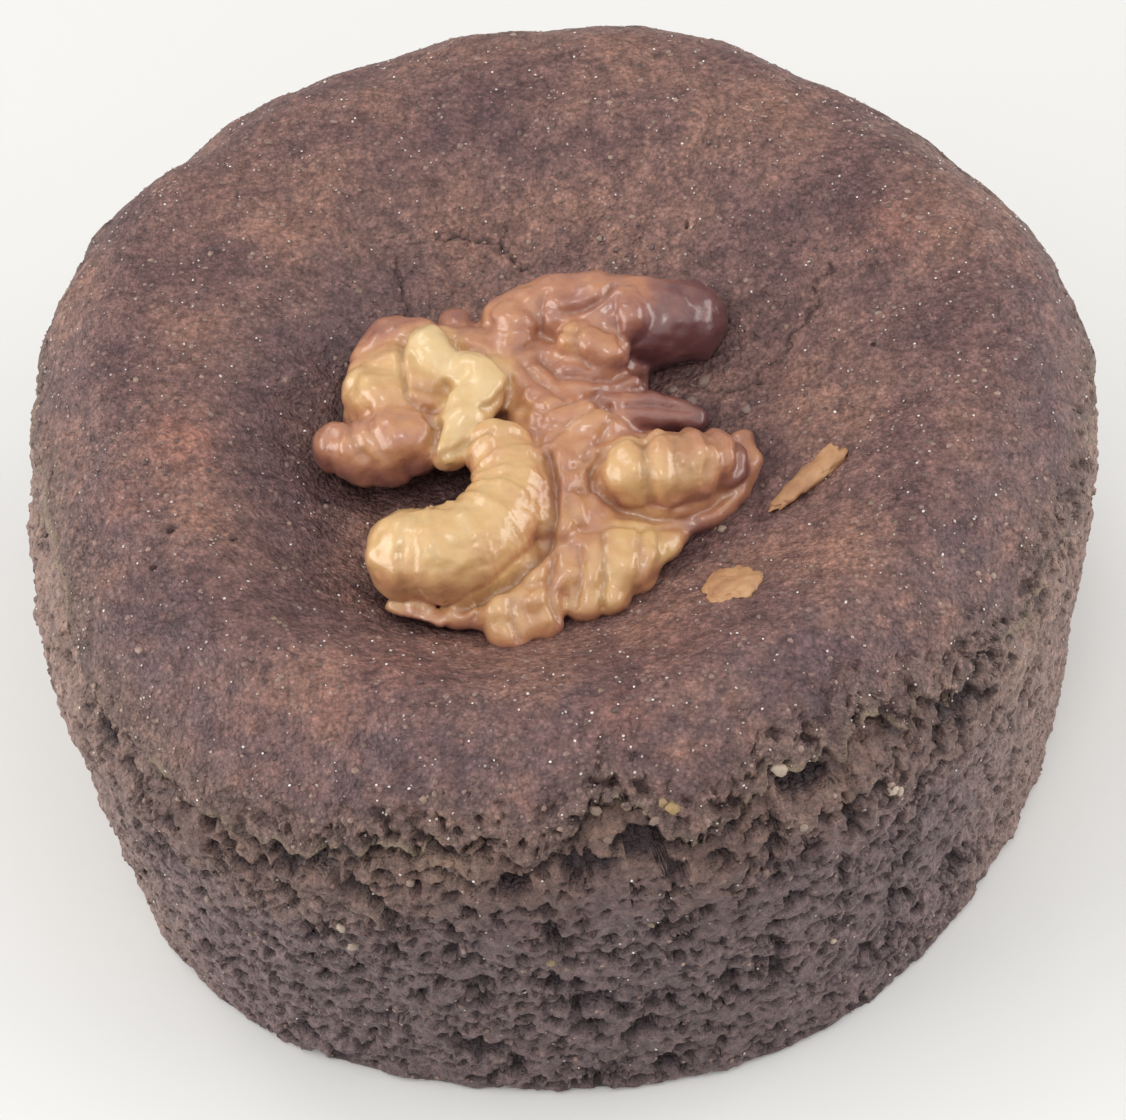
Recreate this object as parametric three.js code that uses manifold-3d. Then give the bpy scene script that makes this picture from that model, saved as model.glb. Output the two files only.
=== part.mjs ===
// A small round honey cake, dark and coarse, with half a walnut kernel baked into its sunken top.
// Millimetres, +Z up. The front of the cake faces -Y and its flat base lies on Z = 0.
import * as THREE from 'three';
import { ImprovedNoise } from 'three/addons/math/ImprovedNoise.js';
import { mergeVertices } from 'three/addons/utils/BufferGeometryUtils.js';
import Module from 'manifold-3d';

const wasm = await Module();
wasm.setup();

// ---------- driving dimensions of the cake ----------
const CAKE_RADIUS = 31;          // at the shoulder, where the side is widest
const BASE_RADIUS = 29.8;        // the side draws in a little towards the base
const CAKE_HEIGHT = 30.1;        // to the crest of the rim, before the slope of the top
const RIM_ROUNDING = 8.6;        // where the top turns down into the side
const FOOT_ROUNDING = 0.9;
const TOP_RISE_RIGHT = 0.055;    // the top climbs to the right and a little to the back
const TOP_RISE_BACK = 0.017;
const BASE_SHIFT = 0.7;          // the base stands a little to the right of the top
const OUT_OF_ROUND = [           // waves round the outline: how many, cosine part, sine part
  [2, -0.009, 0], [3, 0.016, 0], [4, -0.007, -0.002], [5, 0.015, 0.005],
];
const RIM_DIPS = [               // low places in the rim: degrees from +X, half-width, depth
  { at: 50, reach: 7, depth: 1.1 }, { at: 38, reach: 9, depth: 0.4 },
  { at: 134, reach: 4, depth: 0.8 }, { at: 86, reach: 4, depth: 0.5 },
];

// ---------- the sunken middle of the top ----------
const HOLLOW_DEPTH = 4.8;
const HOLLOW_CENTRE = { x: -1, y: -3 };
const HOLLOW_EDGES = [           // middle of the slope and its half-width, by direction in degrees
  { at: 0, distance: 17.5, slope: 9 }, { at: 90, distance: 15.5, slope: 7.5 },
  { at: 180, distance: 13.6, slope: 5.4 }, { at: 270, distance: 17, slope: 6 },
];

// ---------- the torn edge where the top crust laps over the crumb of the side ----------
const CRUST_EDGE = [             // direction in degrees, drop below the crest of the rim
  [-158, 2.9], [-138, 4.3], [-116, 6.1], [-99, 5.1], [-94, 5.9], [-85, 3.6], [-77, 5.1],
  [-66, 3.6], [-54, 3.9], [-40, 5.9], [-17, 6.0], [30, 4.6], [75, 5.6], [120, 4.4], [165, 5.2],
];
const MEAN_EDGE_DROP = 5;        // drop of the edge before it wanders
const CRUST_LIP = 0.15;          // how far the torn edge stands proud of the side
const CRUST_UNDERCUT = 0.75;     // how far the crumb is set back just below the edge
const UNDERCUT_REACH = 4.2;      // height over which the crumb comes back out
const EDGE_STEP = 0.35;          // height of the step itself

// ---------- relief ----------
const TOP_LUMPS = { depth: 0.34, size: 5.2 };
const TOP_GRAIN = { depth: 0.2, size: 2.3 };
const SIDE_PITS = { depth: 2.9, width: 3.3, height: 2.3, threshold: 0.04, deepest: 1.5 };
const SIDE_GRAIN = { depth: 0.32, size: 2.6 };
const NOISE_LAYER = { lumps: 3.7, grain: 8.1, crumb: 9 };   // keeps the patterns from repeating each other

// ---------- mesh fineness ----------
const CAKE_SECTORS = 116;
const ROW_STEP = 1.5;
const HIDDEN_TOP_RADII = [3.5, 7];   // sparse rows of the top that the walnut covers

// ---------- fit of the walnut ----------
const WALNUT_GAP = 0.4;              // clear space between the kernel and the crust under it
const LOBE_SIDES = 9;
const LOBE_RING_STEP = 1.4;
const FEWEST_LOBE_RINGS = 5;

const FLAT_RADIUS = CAKE_RADIUS - RIM_ROUNDING;
const SHOULDER_HEIGHT = CAKE_HEIGHT - RIM_ROUNDING;
const DEGREE = Math.PI / 180;
const { lerp, clamp, smoothstep, euclideanModulo } = THREE.MathUtils;
const noise = new ImprovedNoise();

/** Signed distance between two directions in degrees, from -180 to 180. */
function turnBetween(a, b) {
  return euclideanModulo(a - b + 180, 360) - 180;
}

/** Smooth value between the entries of a ring of [direction, value], ordered by direction. */
function aroundRing(entries, direction) {
  for (let i = 0; i < entries.length; i++) {
    const [from, low] = entries[i];
    const [to, high] = entries[(i + 1) % entries.length];
    const span = euclideanModulo(to - from, 360);
    const along = euclideanModulo(direction - from, 360);
    if (along <= span) return lerp(low, high, smoothstep(along / span, 0, 1));
  }
  return entries[0][1];
}

/** How far the outline departs from a true circle, as a factor. */
function outline(angle) {
  return OUT_OF_ROUND.reduce((sum, [waves, cosine, sine]) =>
    sum + cosine * Math.cos(waves * angle) + sine * Math.sin(waves * angle), 1);
}

/** Depth of the sunken middle below the plain top at a point. */
function hollow(x, y) {
  const dx = x - HOLLOW_CENTRE.x;
  const dy = y - HOLLOW_CENTRE.y;
  const direction = Math.atan2(dy, dx) / DEGREE;
  const distance = aroundRing(HOLLOW_EDGES.map((edge) => [edge.at, edge.distance]), direction);
  const slope = aroundRing(HOLLOW_EDGES.map((edge) => [edge.at, edge.slope]), direction);
  const outwards = (Math.hypot(dx, dy) - distance) / slope;
  return HOLLOW_DEPTH * (1 - smoothstep(outwards, -1, 1));
}

/** Height of the plain top above the base, with its slope and the low places in its rim. */
function topHeight(x, y, angle) {
  const outward = Math.min(1, Math.hypot(x, y) / CAKE_RADIUS);
  const dips = RIM_DIPS.reduce((sum, dip) =>
    sum + dip.depth * Math.exp(-((turnBetween(angle / DEGREE, dip.at) / dip.reach) ** 2)), 0);
  return CAKE_HEIGHT + TOP_RISE_RIGHT * x + TOP_RISE_BACK * y - dips * outward ** 4;
}

/** Rows of the cake's profile from the middle of the top, over the rim and down to the base. */
function cakeRows() {
  const rows = [];
  const addTop = (radius) => rows.push({ radius, height: CAKE_HEIGHT, lean: 0, kind: 'top' });
  HIDDEN_TOP_RADII.forEach(addTop);
  const firstRow = HIDDEN_TOP_RADII.at(-1) + 2 * ROW_STEP;
  for (let radius = firstRow; radius < FLAT_RADIUS; radius += ROW_STEP) addTop(radius);

  const edgeLean = Math.acos(1 - MEAN_EDGE_DROP / RIM_ROUNDING);
  const rimRows = Math.round(RIM_ROUNDING * edgeLean / ROW_STEP);
  const onRim = (lean, kind) => rows.push({
    radius: FLAT_RADIUS + RIM_ROUNDING * Math.sin(lean),
    height: SHOULDER_HEIGHT + RIM_ROUNDING * Math.cos(lean), lean, kind,
  });
  for (let i = 0; i < rimRows; i++) onRim(edgeLean * i / rimRows, 'top');
  onRim(edgeLean, 'edge');
  onRim(edgeLean + EDGE_STEP / RIM_ROUNDING, 'under');
  onRim((edgeLean + Math.PI / 2) / 2, 'side');

  const sideRows = Math.round((SHOULDER_HEIGHT - FOOT_ROUNDING) / ROW_STEP);
  for (let i = 0; i <= sideRows; i++) {
    const height = lerp(SHOULDER_HEIGHT, FOOT_ROUNDING, i / sideRows);
    const taper = (SHOULDER_HEIGHT - height) / (SHOULDER_HEIGHT - FOOT_ROUNDING);
    const radius = lerp(CAKE_RADIUS, BASE_RADIUS, taper);
    rows.push({ radius, height, lean: Math.PI / 2, kind: 'side' });
  }
  rows.push({ radius: BASE_RADIUS - FOOT_ROUNDING, height: 0, lean: Math.PI, kind: 'base' });
  return rows;
}

/** Depth of the holes and crags in the crumb of the side, below its plain surface. */
function crumbDepth(x, y, z) {
  const { depth, width, height, threshold, deepest } = SIDE_PITS;
  const holes = noise.noise(x / width, y / width, z / height);
  const { size } = SIDE_GRAIN;
  const fine = noise.noise(x / size, y / size, z / size + NOISE_LAYER.crumb);
  return Math.min(deepest, depth * Math.max(0, holes - threshold)) + SIDE_GRAIN.depth * fine;
}

/** Height of the lumps and grains of the top crust. */
function crustRelief(x, y) {
  const lumps = noise.noise(x / TOP_LUMPS.size, y / TOP_LUMPS.size, NOISE_LAYER.lumps);
  const grain = noise.noise(x / TOP_GRAIN.size, y / TOP_GRAIN.size, NOISE_LAYER.grain);
  return TOP_LUMPS.depth * lumps + TOP_GRAIN.depth * grain;
}

/** One point of the cake's skin: a profile row, a direction and a lift above the true surface. */
function cakePoint(row, angle, lift) {
  const direction = angle / DEGREE;
  let { radius, height, lean } = row;

  // Rows near the crust's edge slide up and down the rim so that the edge follows its torn line.
  if (row.kind !== 'base' && lean > 0) {
    const slide = aroundRing(CRUST_EDGE, direction) - MEAN_EDGE_DROP;
    const fromEdge = CAKE_HEIGHT - MEAN_EDGE_DROP - height;
    const reach = fromEdge < 0 ? MEAN_EDGE_DROP : SHOULDER_HEIGHT;
    height -= slide * Math.max(0, 1 - Math.abs(fromEdge) / reach);
    if (height > SHOULDER_HEIGHT) {
      lean = Math.acos(Math.min(1, (height - SHOULDER_HEIGHT) / RIM_ROUNDING));
      radius = FLAT_RADIUS + RIM_ROUNDING * Math.sin(lean);
    }
  }

  const cosine = Math.cos(angle);
  const sine = Math.sin(angle);
  const drop = CAKE_HEIGHT - height - aroundRing(CRUST_EDGE, direction);
  let relief = 0;
  if (row.kind === 'top') relief = crustRelief(radius * cosine, radius * sine);
  if (row.kind === 'edge') relief = CRUST_LIP + crustRelief(radius * cosine, radius * sine);
  if (row.kind === 'side' || row.kind === 'under') {
    const setBack = CRUST_UNDERCUT * Math.max(0, 1 - Math.max(0, drop) / UNDERCUT_REACH);
    relief = -setBack - crumbDepth(radius * cosine, radius * sine, height);
  }

  const out = radius + (relief + lift) * Math.sin(lean);
  const up = row.kind === 'base' ? 0 : (relief + lift) * Math.cos(lean);
  const x = out * outline(angle) * cosine + BASE_SHIFT * (1 - height / CAKE_HEIGHT);
  const y = out * outline(angle) * sine;
  const sunk = lean < Math.PI / 2 ? hollow(x, y) : 0;
  const z = height * topHeight(x, y, angle) / CAKE_HEIGHT + up - sunk;
  return new THREE.Vector3(x, y, z);
}

/** The whole skin of the cake as a turned form whose vertices are then moved to their places. */
function cakeSkin(lift = 0, sectors = CAKE_SECTORS) {
  const rows = cakeRows();
  const profile = [new THREE.Vector2(0, 0), ...rows.map(({ radius, height }) =>
    new THREE.Vector2(radius, height)).reverse(), new THREE.Vector2(0, CAKE_HEIGHT)];
  const skin = new THREE.LatheGeometry(profile, sectors);
  const places = skin.attributes.position;
  const middle = { radius: 0, height: CAKE_HEIGHT, lean: 0, kind: 'top' };
  for (let sector = 0; sector <= sectors; sector++) {
    const angle = (sector % sectors) * 2 * Math.PI / sectors - Math.PI / 2;
    for (let j = 1; j < profile.length; j++) {
      const row = j <= rows.length ? rows[rows.length - j] : middle;
      const point = cakePoint(row, j <= rows.length ? angle : 0, lift);
      places.setXYZ(sector * profile.length + j, point.x, point.y, point.z);
    }
    places.setXYZ(sector * profile.length, BASE_SHIFT, 0, 0);
  }
  return skin;
}

/** Closed solid of a geometry whose faces share their vertices. */
function solidOf(geometry) {
  const bare = geometry.clone();
  bare.deleteAttribute('normal');
  bare.deleteAttribute('uv');
  const merged = mergeVertices(bare, 1e-4);
  return new wasm.Manifold(new wasm.Mesh({
    numProp: 3,
    vertProperties: new Float32Array(merged.attributes.position.array),
    triVerts: new Uint32Array(merged.index.array),
  }));
}

/** Geometry of a joined or cut solid. */
function geometryOf(solid) {
  const { vertProperties, triVerts } = solid.getMesh();
  const geometry = new THREE.BufferGeometry();
  geometry.setAttribute('position', new THREE.BufferAttribute(vertProperties, 3));
  geometry.setIndex(new THREE.BufferAttribute(triVerts, 1));
  geometry.computeVertexNormals();
  return geometry;
}

/** Height of the finished top crust at a point, found on the sloping, sunken top. */
function crustHeight(x, y) {
  return topHeight(x, y, Math.atan2(y, x)) - hollow(x, y);
}

// ---------- chips of nut that show in the top crust ----------
const NUT_CHIPS = [              // middle of each chip, its three half-sizes and its turn in degrees
  { x: 14.1, y: -8.8, half: [2.7, 0.75, 0.7], turn: 32 },
  { x: 9.5, y: -15.7, half: [1.55, 1.15, 0.8], turn: -15 },
  { x: -19.6, y: -4.3, half: [1.5, 1.2, 0.7], turn: 40 },
];

/** A chip of nut half sunk in the crust. */
function nutChip({ x, y, half, turn }) {
  const chip = new THREE.SphereGeometry(1, 8, 5);
  chip.rotateX(Math.PI / 2);
  chip.scale(...half);
  chip.rotateZ(turn * DEGREE);
  chip.translate(x, y, crustHeight(x, y) + 0.1);
  return chip;
}

// ---------- the walnut kernel ----------
// Each lobe runs along a line of points inside it; radius is given at each of those points.
// Ridges cross a lobe at a pitch along it, and are a share of its radius deep.
const RIDGES = { pitch: 1.55, depth: 0.13 };
const LOBES = [
  { // front left lobe, hooked round to the middle of the kernel
    line: [[-7.2, -12.6, 28], [-5.3, -12.9, 28.2], [-3.3, -11.9, 28.2], [-2, -9.9, 28.1],
      [-1.7, -7.9, 28.1], [-2.2, -6.2, 28.2]],
    radius: [2.4, 2.6, 2.45, 2.2, 2, 1.8], ridges: true,
  },
  { // strip of flesh above the hook
    line: [[-4.9, -5.9, 28.3], [-4.5, -4.6, 28.5], [-3.7, -3.1, 28.6], [-2.8, -1.8, 28.6]],
    radius: [1, 1.2, 1.3, 1.4],
  },
  { // left lobe, low and ridged, just behind the notch
    line: [[-10.9, -3.9, 27.1], [-9.6, -4.4, 27.3], [-7.8, -4.3, 27.6], [-6.9, -4.3, 27.7]],
    radius: [1.4, 1.85, 2.1, 1.9], ridges: true,
  },
  { line: [[-9.4, -0.2, 27.5], [-8.2, -1.6, 27.8]], radius: [1.5, 1.9] },
  { // left lobe, upper back
    line: [[-9.1, 2.4, 27.2], [-8, 3.7, 27.3], [-6.6, 3.3, 27.6]], radius: [1.35, 1.45, 1.5],
  },
  { // pale broken flesh
    line: [[-5.8, 1.8, 28.4], [-5.3, 0.4, 28.4]], radius: [1.5, 1.5],
  },
  { line: [[-4.4, -0.3, 28.4], [-2.8, -0.9, 28.6]], radius: [1.4, 1.5] },
  { line: [[-4.3, 4.6, 27.4], [-3.7, 3.3, 27.6]], radius: [1, 0.9] },
  { // flesh between the left lobes
    line: [[-8.7, 1.2, 27], [-7, 0.6, 27.5], [-6.6, -1.8, 27.6]], radius: [1.8, 2, 2],
  },
  { line: [[-5.6, 2.2, 27], [-3, 1.4, 27.2], [-0.8, 1, 27.4]], radius: [2, 2.2, 2.2] },
  { // back right lobe, with a smooth dark end
    line: [[-1.1, 3.8, 27.8], [1, 4, 28], [3.7, 3.3, 28.1], [6.4, 3, 28], [8.7, 3.3, 27.5]],
    radius: [1.9, 2.5, 2.85, 2.7, 2.35],
  },
  { line: [[3.7, 4.2, 29.5], [2.6, 4.1, 29.4]], radius: [1.35, 1.2] },
  { // folds between the back and the right lobes
    line: [[-0.3, -0.9, 27.7], [2.4, -1.4, 27.6], [4.6, -1.3, 27.2]], radius: [1.7, 1.9, 1.5],
  },
  { line: [[0.8, -3.9, 27.8], [2.8, -5.1, 27.9], [3.8, -5.2, 27.6]], radius: [1.8, 1.8, 1.4] },
  { line: [[4.5, -2.9, 27.1], [6.6, -2.8, 26.8], [8.6, -3.1, 26.3]], radius: [1.5, 1.2, 0.9] },
  { // seam down the middle
    line: [[1, -6.3, 27.9], [0.9, -8.9, 27.8], [1, -11.3, 27.5]], radius: [1.5, 1.6, 1.5],
  },
  { // right lobe, oval and cross-ridged
    line: [[5.1, -8.2, 27.9], [7.2, -8.1, 28], [9.3, -7.5, 27.5]],
    radius: [2.05, 2.15, 1.9], ridges: true,
  },
  { // rim round the foot of the right lobe
    line: [[3.7, -9.2, 26.8], [5.6, -10.2, 26.5], [8, -10, 26.3], [10.1, -8.9, 26.3],
      [11.1, -7, 26.3], [11, -5.1, 26.4]],
    radius: [0.9, 1, 1, 1, 0.95, 0.8],
  },
  { // front sheet, thin, ending in scallops
    line: [[2.1, -12.2, 26.9], [3.8, -12.6, 26.8], [5.6, -11.8, 26.4]], radius: [2.2, 2.3, 1.6], flat: 0.6,
  },
  { line: [[1.9, -13.9, 26.5], [1.7, -15.3, 26]], radius: [1.3, 1] },
  { line: [[3.5, -13.4, 26.6], [3.2, -14.9, 26]], radius: [1.3, 1.1] },
  { line: [[5.1, -12.4, 26.4], [4.7, -13.7, 26]], radius: [1.2, 1] },
  { line: [[6.3, -11.5, 26.2], [7.2, -10.7, 26]], radius: [0.9, 0.7] },
  { // front left sheet under the hook
    line: [[-2.7, -14.5, 26.7], [-1, -14.1, 26.9], [0.2, -13.4, 26.9]], radius: [1.6, 1.7, 1.5], flat: 0.7,
  },
  { line: [[-3.8, -15.2, 26.3], [-4.9, -15.4, 25.9]], radius: [1.1, 0.8] },
  { line: [[-2.5, -15.5, 26.5], [-2.3, -16.7, 25.9]], radius: [1.3, 1.2] },
  { line: [[-0.7, -15.1, 26.6], [-0.6, -16.1, 26]], radius: [1.2, 1.2] },
  { // body of the kernel that the lobes grow from
    line: [[-8.8, -1.3, 26], [-5.4, -0.4, 26.2], [-2, -0.1, 26.4], [1.3, 0.1, 26.4], [4.3, 0.6, 26.2]],
    radius: [2.2, 2.6, 2.9, 2.9, 2.2],
  },
  { line: [[0.8, -2.6, 26.3], [1.9, -7.7, 26.3], [1.9, -11.4, 26]], radius: [3, 3, 2.2] },
  { line: [[1.9, -7.7, 26.3], [5.2, -6.8, 26.2], [8.3, -7, 26]], radius: [2.8, 2.6, 2.2] },
];

/** One lobe: a ball drawn out along its line, with ridges across it. */
function lobe({ line, radius, ridges = false, flat = 1 }) {
  const curve = new THREE.CatmullRomCurve3(line.map((point) => new THREE.Vector3(...point)));
  const length = curve.getLength();
  const startRadius = radius[0];
  const endRadius = radius.at(-1);
  const whole = startRadius + length + endRadius;
  const ringStep = ridges ? RIDGES.pitch / 2 : LOBE_RING_STEP;
  const rings = Math.max(FEWEST_LOBE_RINGS, Math.round(whole / ringStep));
  const ball = new THREE.SphereGeometry(1, LOBE_SIDES, rings);
  const places = ball.attributes.position;
  const point = new THREE.Vector3();
  for (let i = 0; i < places.count; i++) {
    point.fromBufferAttribute(places, i);
    const share = Math.acos(clamp(-point.y, -1, 1)) / Math.PI;
    const along = whole * lerp(share, (1 - Math.cos(share * Math.PI)) / 2, 0.45) - startRadius;
    const inside = clamp(along / length, 0, 1);
    const station = inside * (radius.length - 1);
    const before = Math.min(Math.floor(station), radius.length - 2);
    let girth = lerp(radius[before], radius[before + 1], station - before);
    if (along < 0) girth = Math.sqrt(Math.max(0, startRadius ** 2 - along ** 2));
    if (along > length) girth = Math.sqrt(Math.max(0, endRadius ** 2 - (along - length) ** 2));
    if (ridges) girth *= 1 - RIDGES.depth * (1 - Math.abs(Math.sin(Math.PI * along / RIDGES.pitch))) ** 1.5;

    const forward = curve.getTangentAt(inside);
    const sideways = new THREE.Vector3(forward.y, -forward.x, 0).normalize();
    const upward = new THREE.Vector3().crossVectors(sideways, forward);
    const centre = curve.getPointAt(inside);
    centre.addScaledVector(forward, Math.min(0, along) + Math.max(0, along - length));
    const across = Math.hypot(point.x, point.z) || 1;
    centre.addScaledVector(sideways, girth * point.x / across);
    centre.addScaledVector(upward, girth * flat * point.z / across);
    places.setXYZ(i, centre.x, centre.y, centre.z);
  }
  return ball;
}

/** The kernel: all lobes grown together, resting just clear of the crust that it sank into. */
function walnutSolid() {
  const grown = LOBES.map((each) => solidOf(lobe(each))).reduce((whole, each) => whole.add(each));
  return grown.subtract(solidOf(cakeSkin(WALNUT_GAP, CAKE_SECTORS / 2)));
}

/** The cake with the chips of nut that are baked into its top. */
function cakeSolid() {
  return NUT_CHIPS.reduce((whole, chip) => whole.add(solidOf(nutChip(chip))), solidOf(cakeSkin()));
}

/** Named mesh of one piece in its own finish. */
function piece(name, solid, color, roughness) {
  const mesh = new THREE.Mesh(
    geometryOf(solid),
    new THREE.MeshStandardMaterial({ color, roughness, metalness: 0 }),
  );
  mesh.name = name;
  return mesh;
}

const cake = piece('cake', cakeSolid(), '#6b4f4a', 0.9);
const walnut = piece('walnut', walnutSolid(), '#b98560', 0.45);

// The whole is set over the middle of its own outline.
const honeyCake = new THREE.Group();
honeyCake.add(cake, walnut);
const bounds = new THREE.Box3().setFromObject(honeyCake);
const middle = bounds.getCenter(new THREE.Vector3());
honeyCake.position.set(-middle.x, -middle.y, -bounds.min.z);

export default honeyCake;
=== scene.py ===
"""A small dark honey cake with half a walnut kernel baked into its sunken top."""
import math
import random

import bmesh
import bpy
import numpy as np
from mathutils import Matrix, Vector, noise


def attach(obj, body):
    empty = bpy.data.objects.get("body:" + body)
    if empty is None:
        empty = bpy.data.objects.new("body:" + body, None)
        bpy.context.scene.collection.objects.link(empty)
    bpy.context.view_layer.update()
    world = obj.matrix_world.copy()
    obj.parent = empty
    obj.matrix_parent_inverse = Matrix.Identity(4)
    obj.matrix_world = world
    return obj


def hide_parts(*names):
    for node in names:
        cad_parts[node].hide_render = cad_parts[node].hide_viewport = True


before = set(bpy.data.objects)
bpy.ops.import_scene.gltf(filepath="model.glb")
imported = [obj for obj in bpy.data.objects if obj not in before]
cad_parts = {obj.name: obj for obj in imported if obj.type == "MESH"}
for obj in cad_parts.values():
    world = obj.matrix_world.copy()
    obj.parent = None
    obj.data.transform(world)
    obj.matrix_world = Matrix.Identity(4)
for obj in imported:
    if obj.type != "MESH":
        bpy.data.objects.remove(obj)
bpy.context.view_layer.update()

MM = 0.001

# ---------------------------------------------------------------------------
# View and light: a small cake seen from the front and well above, on a pale
# table in a bright room, under one broad light with four smaller ones round it.
# ---------------------------------------------------------------------------
PHOTO_LONG_SIDE = 1126                 # pixels
LENS_IN_PIXELS = 3133
SENSOR_WIDTH = 36.0
CAMERA_DISTANCE = 201.5 * MM
CAMERA_HEIGHT_ANGLE = math.radians(50.2)
CAMERA_ROLL = math.radians(-4.4)
CAMERA_TARGET = Vector((-0.38, 9.39, 0.0)) * MM


def view_matrix():
    """Place and turn of the camera, looking along +Y and down at its target."""
    forward = Vector((0, math.cos(CAMERA_HEIGHT_ANGLE), -math.sin(CAMERA_HEIGHT_ANGLE)))
    right = Vector((1, 0, 0))
    up = right.cross(forward)
    turned_right = math.cos(CAMERA_ROLL) * right + math.sin(CAMERA_ROLL) * up
    turned_up = -math.sin(CAMERA_ROLL) * right + math.cos(CAMERA_ROLL) * up
    matrix = Matrix((turned_right, turned_up, -forward)).transposed().to_4x4()
    matrix.translation = CAMERA_TARGET - forward * CAMERA_DISTANCE
    return matrix


camera = bpy.data.objects.new("camera", bpy.data.cameras.new("camera"))
camera.data.sensor_width = SENSOR_WIDTH
camera.data.lens = LENS_IN_PIXELS * SENSOR_WIDTH / PHOTO_LONG_SIDE
camera.data.clip_start = 0.01
camera.matrix_world = view_matrix()
bpy.context.scene.collection.objects.link(camera)
bpy.context.scene.camera = camera
bpy.context.scene.view_settings.view_transform = "Standard"

ROOM_BRIGHTNESS = 0.62
ROOM_COLOUR = (1.0, 0.985, 0.965)
ROOM_SHADE = ((0.15, 0.50), (0.60, 0.74))          # the room is darker on the near side of the cake
room = bpy.data.worlds.new("room")
room.use_nodes = True
room_nodes, room_links = room.node_tree.nodes, room.node_tree.links
room_look = room_nodes.new("ShaderNodeTexCoord")
room_axes = room_nodes.new("ShaderNodeSeparateXYZ")
room_share = room_nodes.new("ShaderNodeMapRange")
room_share.inputs["From Min"].default_value = -1.0
room_ramp = room_nodes.new("ShaderNodeValToRGB")
for element, (share, brightness) in zip(room_ramp.color_ramp.elements, ROOM_SHADE):
    element.position = share
    element.color = (*(brightness * part for part in ROOM_COLOUR), 1)
room_links.new(room_look.outputs["Generated"], room_axes.inputs["Vector"])
room_links.new(room_axes.outputs["Y"], room_share.inputs["Value"])
room_links.new(room_share.outputs["Result"], room_ramp.inputs["Fac"])
room_links.new(room_ramp.outputs["Color"], room_nodes["Background"].inputs["Color"])
room_nodes["Background"].inputs["Strength"].default_value = ROOM_BRIGHTNESS
bpy.context.scene.world = room


def window(name, place, size, power, colour):
    """A soft light that faces the cake."""
    light = bpy.data.lights.new(name, "AREA")
    light.shape = "RECTANGLE"
    light.size, light.size_y = size
    light.energy = power
    light.color = colour
    lamp = bpy.data.objects.new(name, light)
    lamp.location = Vector(place)
    lamp.rotation_euler = (Vector((0, 0, 0.02)) - lamp.location).to_track_quat("-Z", "Y").to_euler()
    bpy.context.scene.collection.objects.link(lamp)


window("light_overhead", (-0.02, -0.20, 0.70), (1.7, 1.5), 5.9, (1.0, 0.99, 0.98))
window("light_front", (-0.05, -0.22, 0.56), (0.12, 0.12), 0.5, (1.0, 0.985, 0.97))
window("light_back_left", (-0.30, 0.34, 0.46), (0.16, 0.16), 0.38, (1.0, 0.985, 0.97))
window("light_left", (-0.55, -0.02, 0.16), (0.6, 0.3), 2.3, (1.0, 0.98, 0.95))
window("light_right", (0.55, 0.04, 0.18), (0.6, 0.3), 2.1, (1.0, 0.985, 0.97))


def finish(name, roughness):
    """A new material, its shader, and the socket of its object coordinates."""
    material = bpy.data.materials.new(name)
    material.use_nodes = True
    shader = material.node_tree.nodes["Principled BSDF"]
    shader.inputs["Roughness"].default_value = roughness
    place = material.node_tree.nodes.new("ShaderNodeTexCoord")
    return material, shader, place.outputs["Object"]


def paint(material, shader, colour):
    """Gives the shader its colour from a colour socket."""
    material.node_tree.links.new(colour, shader.inputs["Base Color"])


def grain(material, place, per_metre, detail=2.0, roughness=0.5):
    """Noise on the piece's own coordinates; gives the socket of its grey value."""
    texture = material.node_tree.nodes.new("ShaderNodeTexNoise")
    texture.inputs["Scale"].default_value = per_metre
    texture.inputs["Detail"].default_value = detail
    texture.inputs["Roughness"].default_value = roughness
    material.node_tree.links.new(place, texture.inputs["Vector"])
    return texture.outputs["Fac"]


def ramp(material, value, stops):
    """Colours at places from 0 to 1 along a value; gives the colour socket."""
    node = material.node_tree.nodes.new("ShaderNodeValToRGB")
    band = node.color_ramp
    while len(band.elements) < len(stops):
        band.elements.new(0.5)
    for element, (place, colour) in zip(band.elements, stops):
        element.position = place
        element.color = (*colour, 1)
    material.node_tree.links.new(value, node.inputs["Fac"])
    return node.outputs["Color"]


def math_node(material, operation, *values):
    """Arithmetic on sockets or numbers."""
    node = material.node_tree.nodes.new("ShaderNodeMath")
    node.operation = operation
    for socket, value in zip(node.inputs, values):
        if isinstance(value, bpy.types.NodeSocket):
            material.node_tree.links.new(value, socket)
        else:
            socket.default_value = value
    return node.outputs["Value"]


def mesh_of(bm, name):
    """Mesh of a finished bmesh, which is freed."""
    mesh = bpy.data.meshes.new(name)
    bm.to_mesh(mesh)
    bm.free()
    return mesh


TABLE_HALF_WIDTH = 1.5
# Painted light: the table's colour runs from lighter near the front to darker behind, standing in for how the
# light falls on it; a little mottling goes on top.
TABLE_COLOUR = ((0.0, (0.84, 0.846, 0.840)), (1.0, (0.71, 0.712, 0.702)))
TABLE_SHADE_FADE = (-0.07, 0.05)                         # painted light and shade, from lighter on the near side to darker on the far side, m
TABLE_MOTTLE = 0.2                                 # share of its colour range that the mottling takes
bm = bmesh.new()
bmesh.ops.create_grid(bm, x_segments=2, y_segments=2, size=TABLE_HALF_WIDTH)
table_mesh = mesh_of(bm, "table")
table = bpy.data.objects.new("table", table_mesh)
bpy.context.scene.collection.objects.link(table)
table_paint, table_shader, table_place = finish("pale_table", 0.7)
table_shader.inputs["Specular IOR Level"].default_value = 0.2
table_axes = table_paint.node_tree.nodes.new("ShaderNodeSeparateXYZ")
table_paint.node_tree.links.new(table_place, table_axes.inputs["Vector"])
table_light_share = table_paint.node_tree.nodes.new("ShaderNodeMapRange")
table_light_share.inputs["From Min"].default_value, table_light_share.inputs["From Max"].default_value = TABLE_SHADE_FADE
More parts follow.
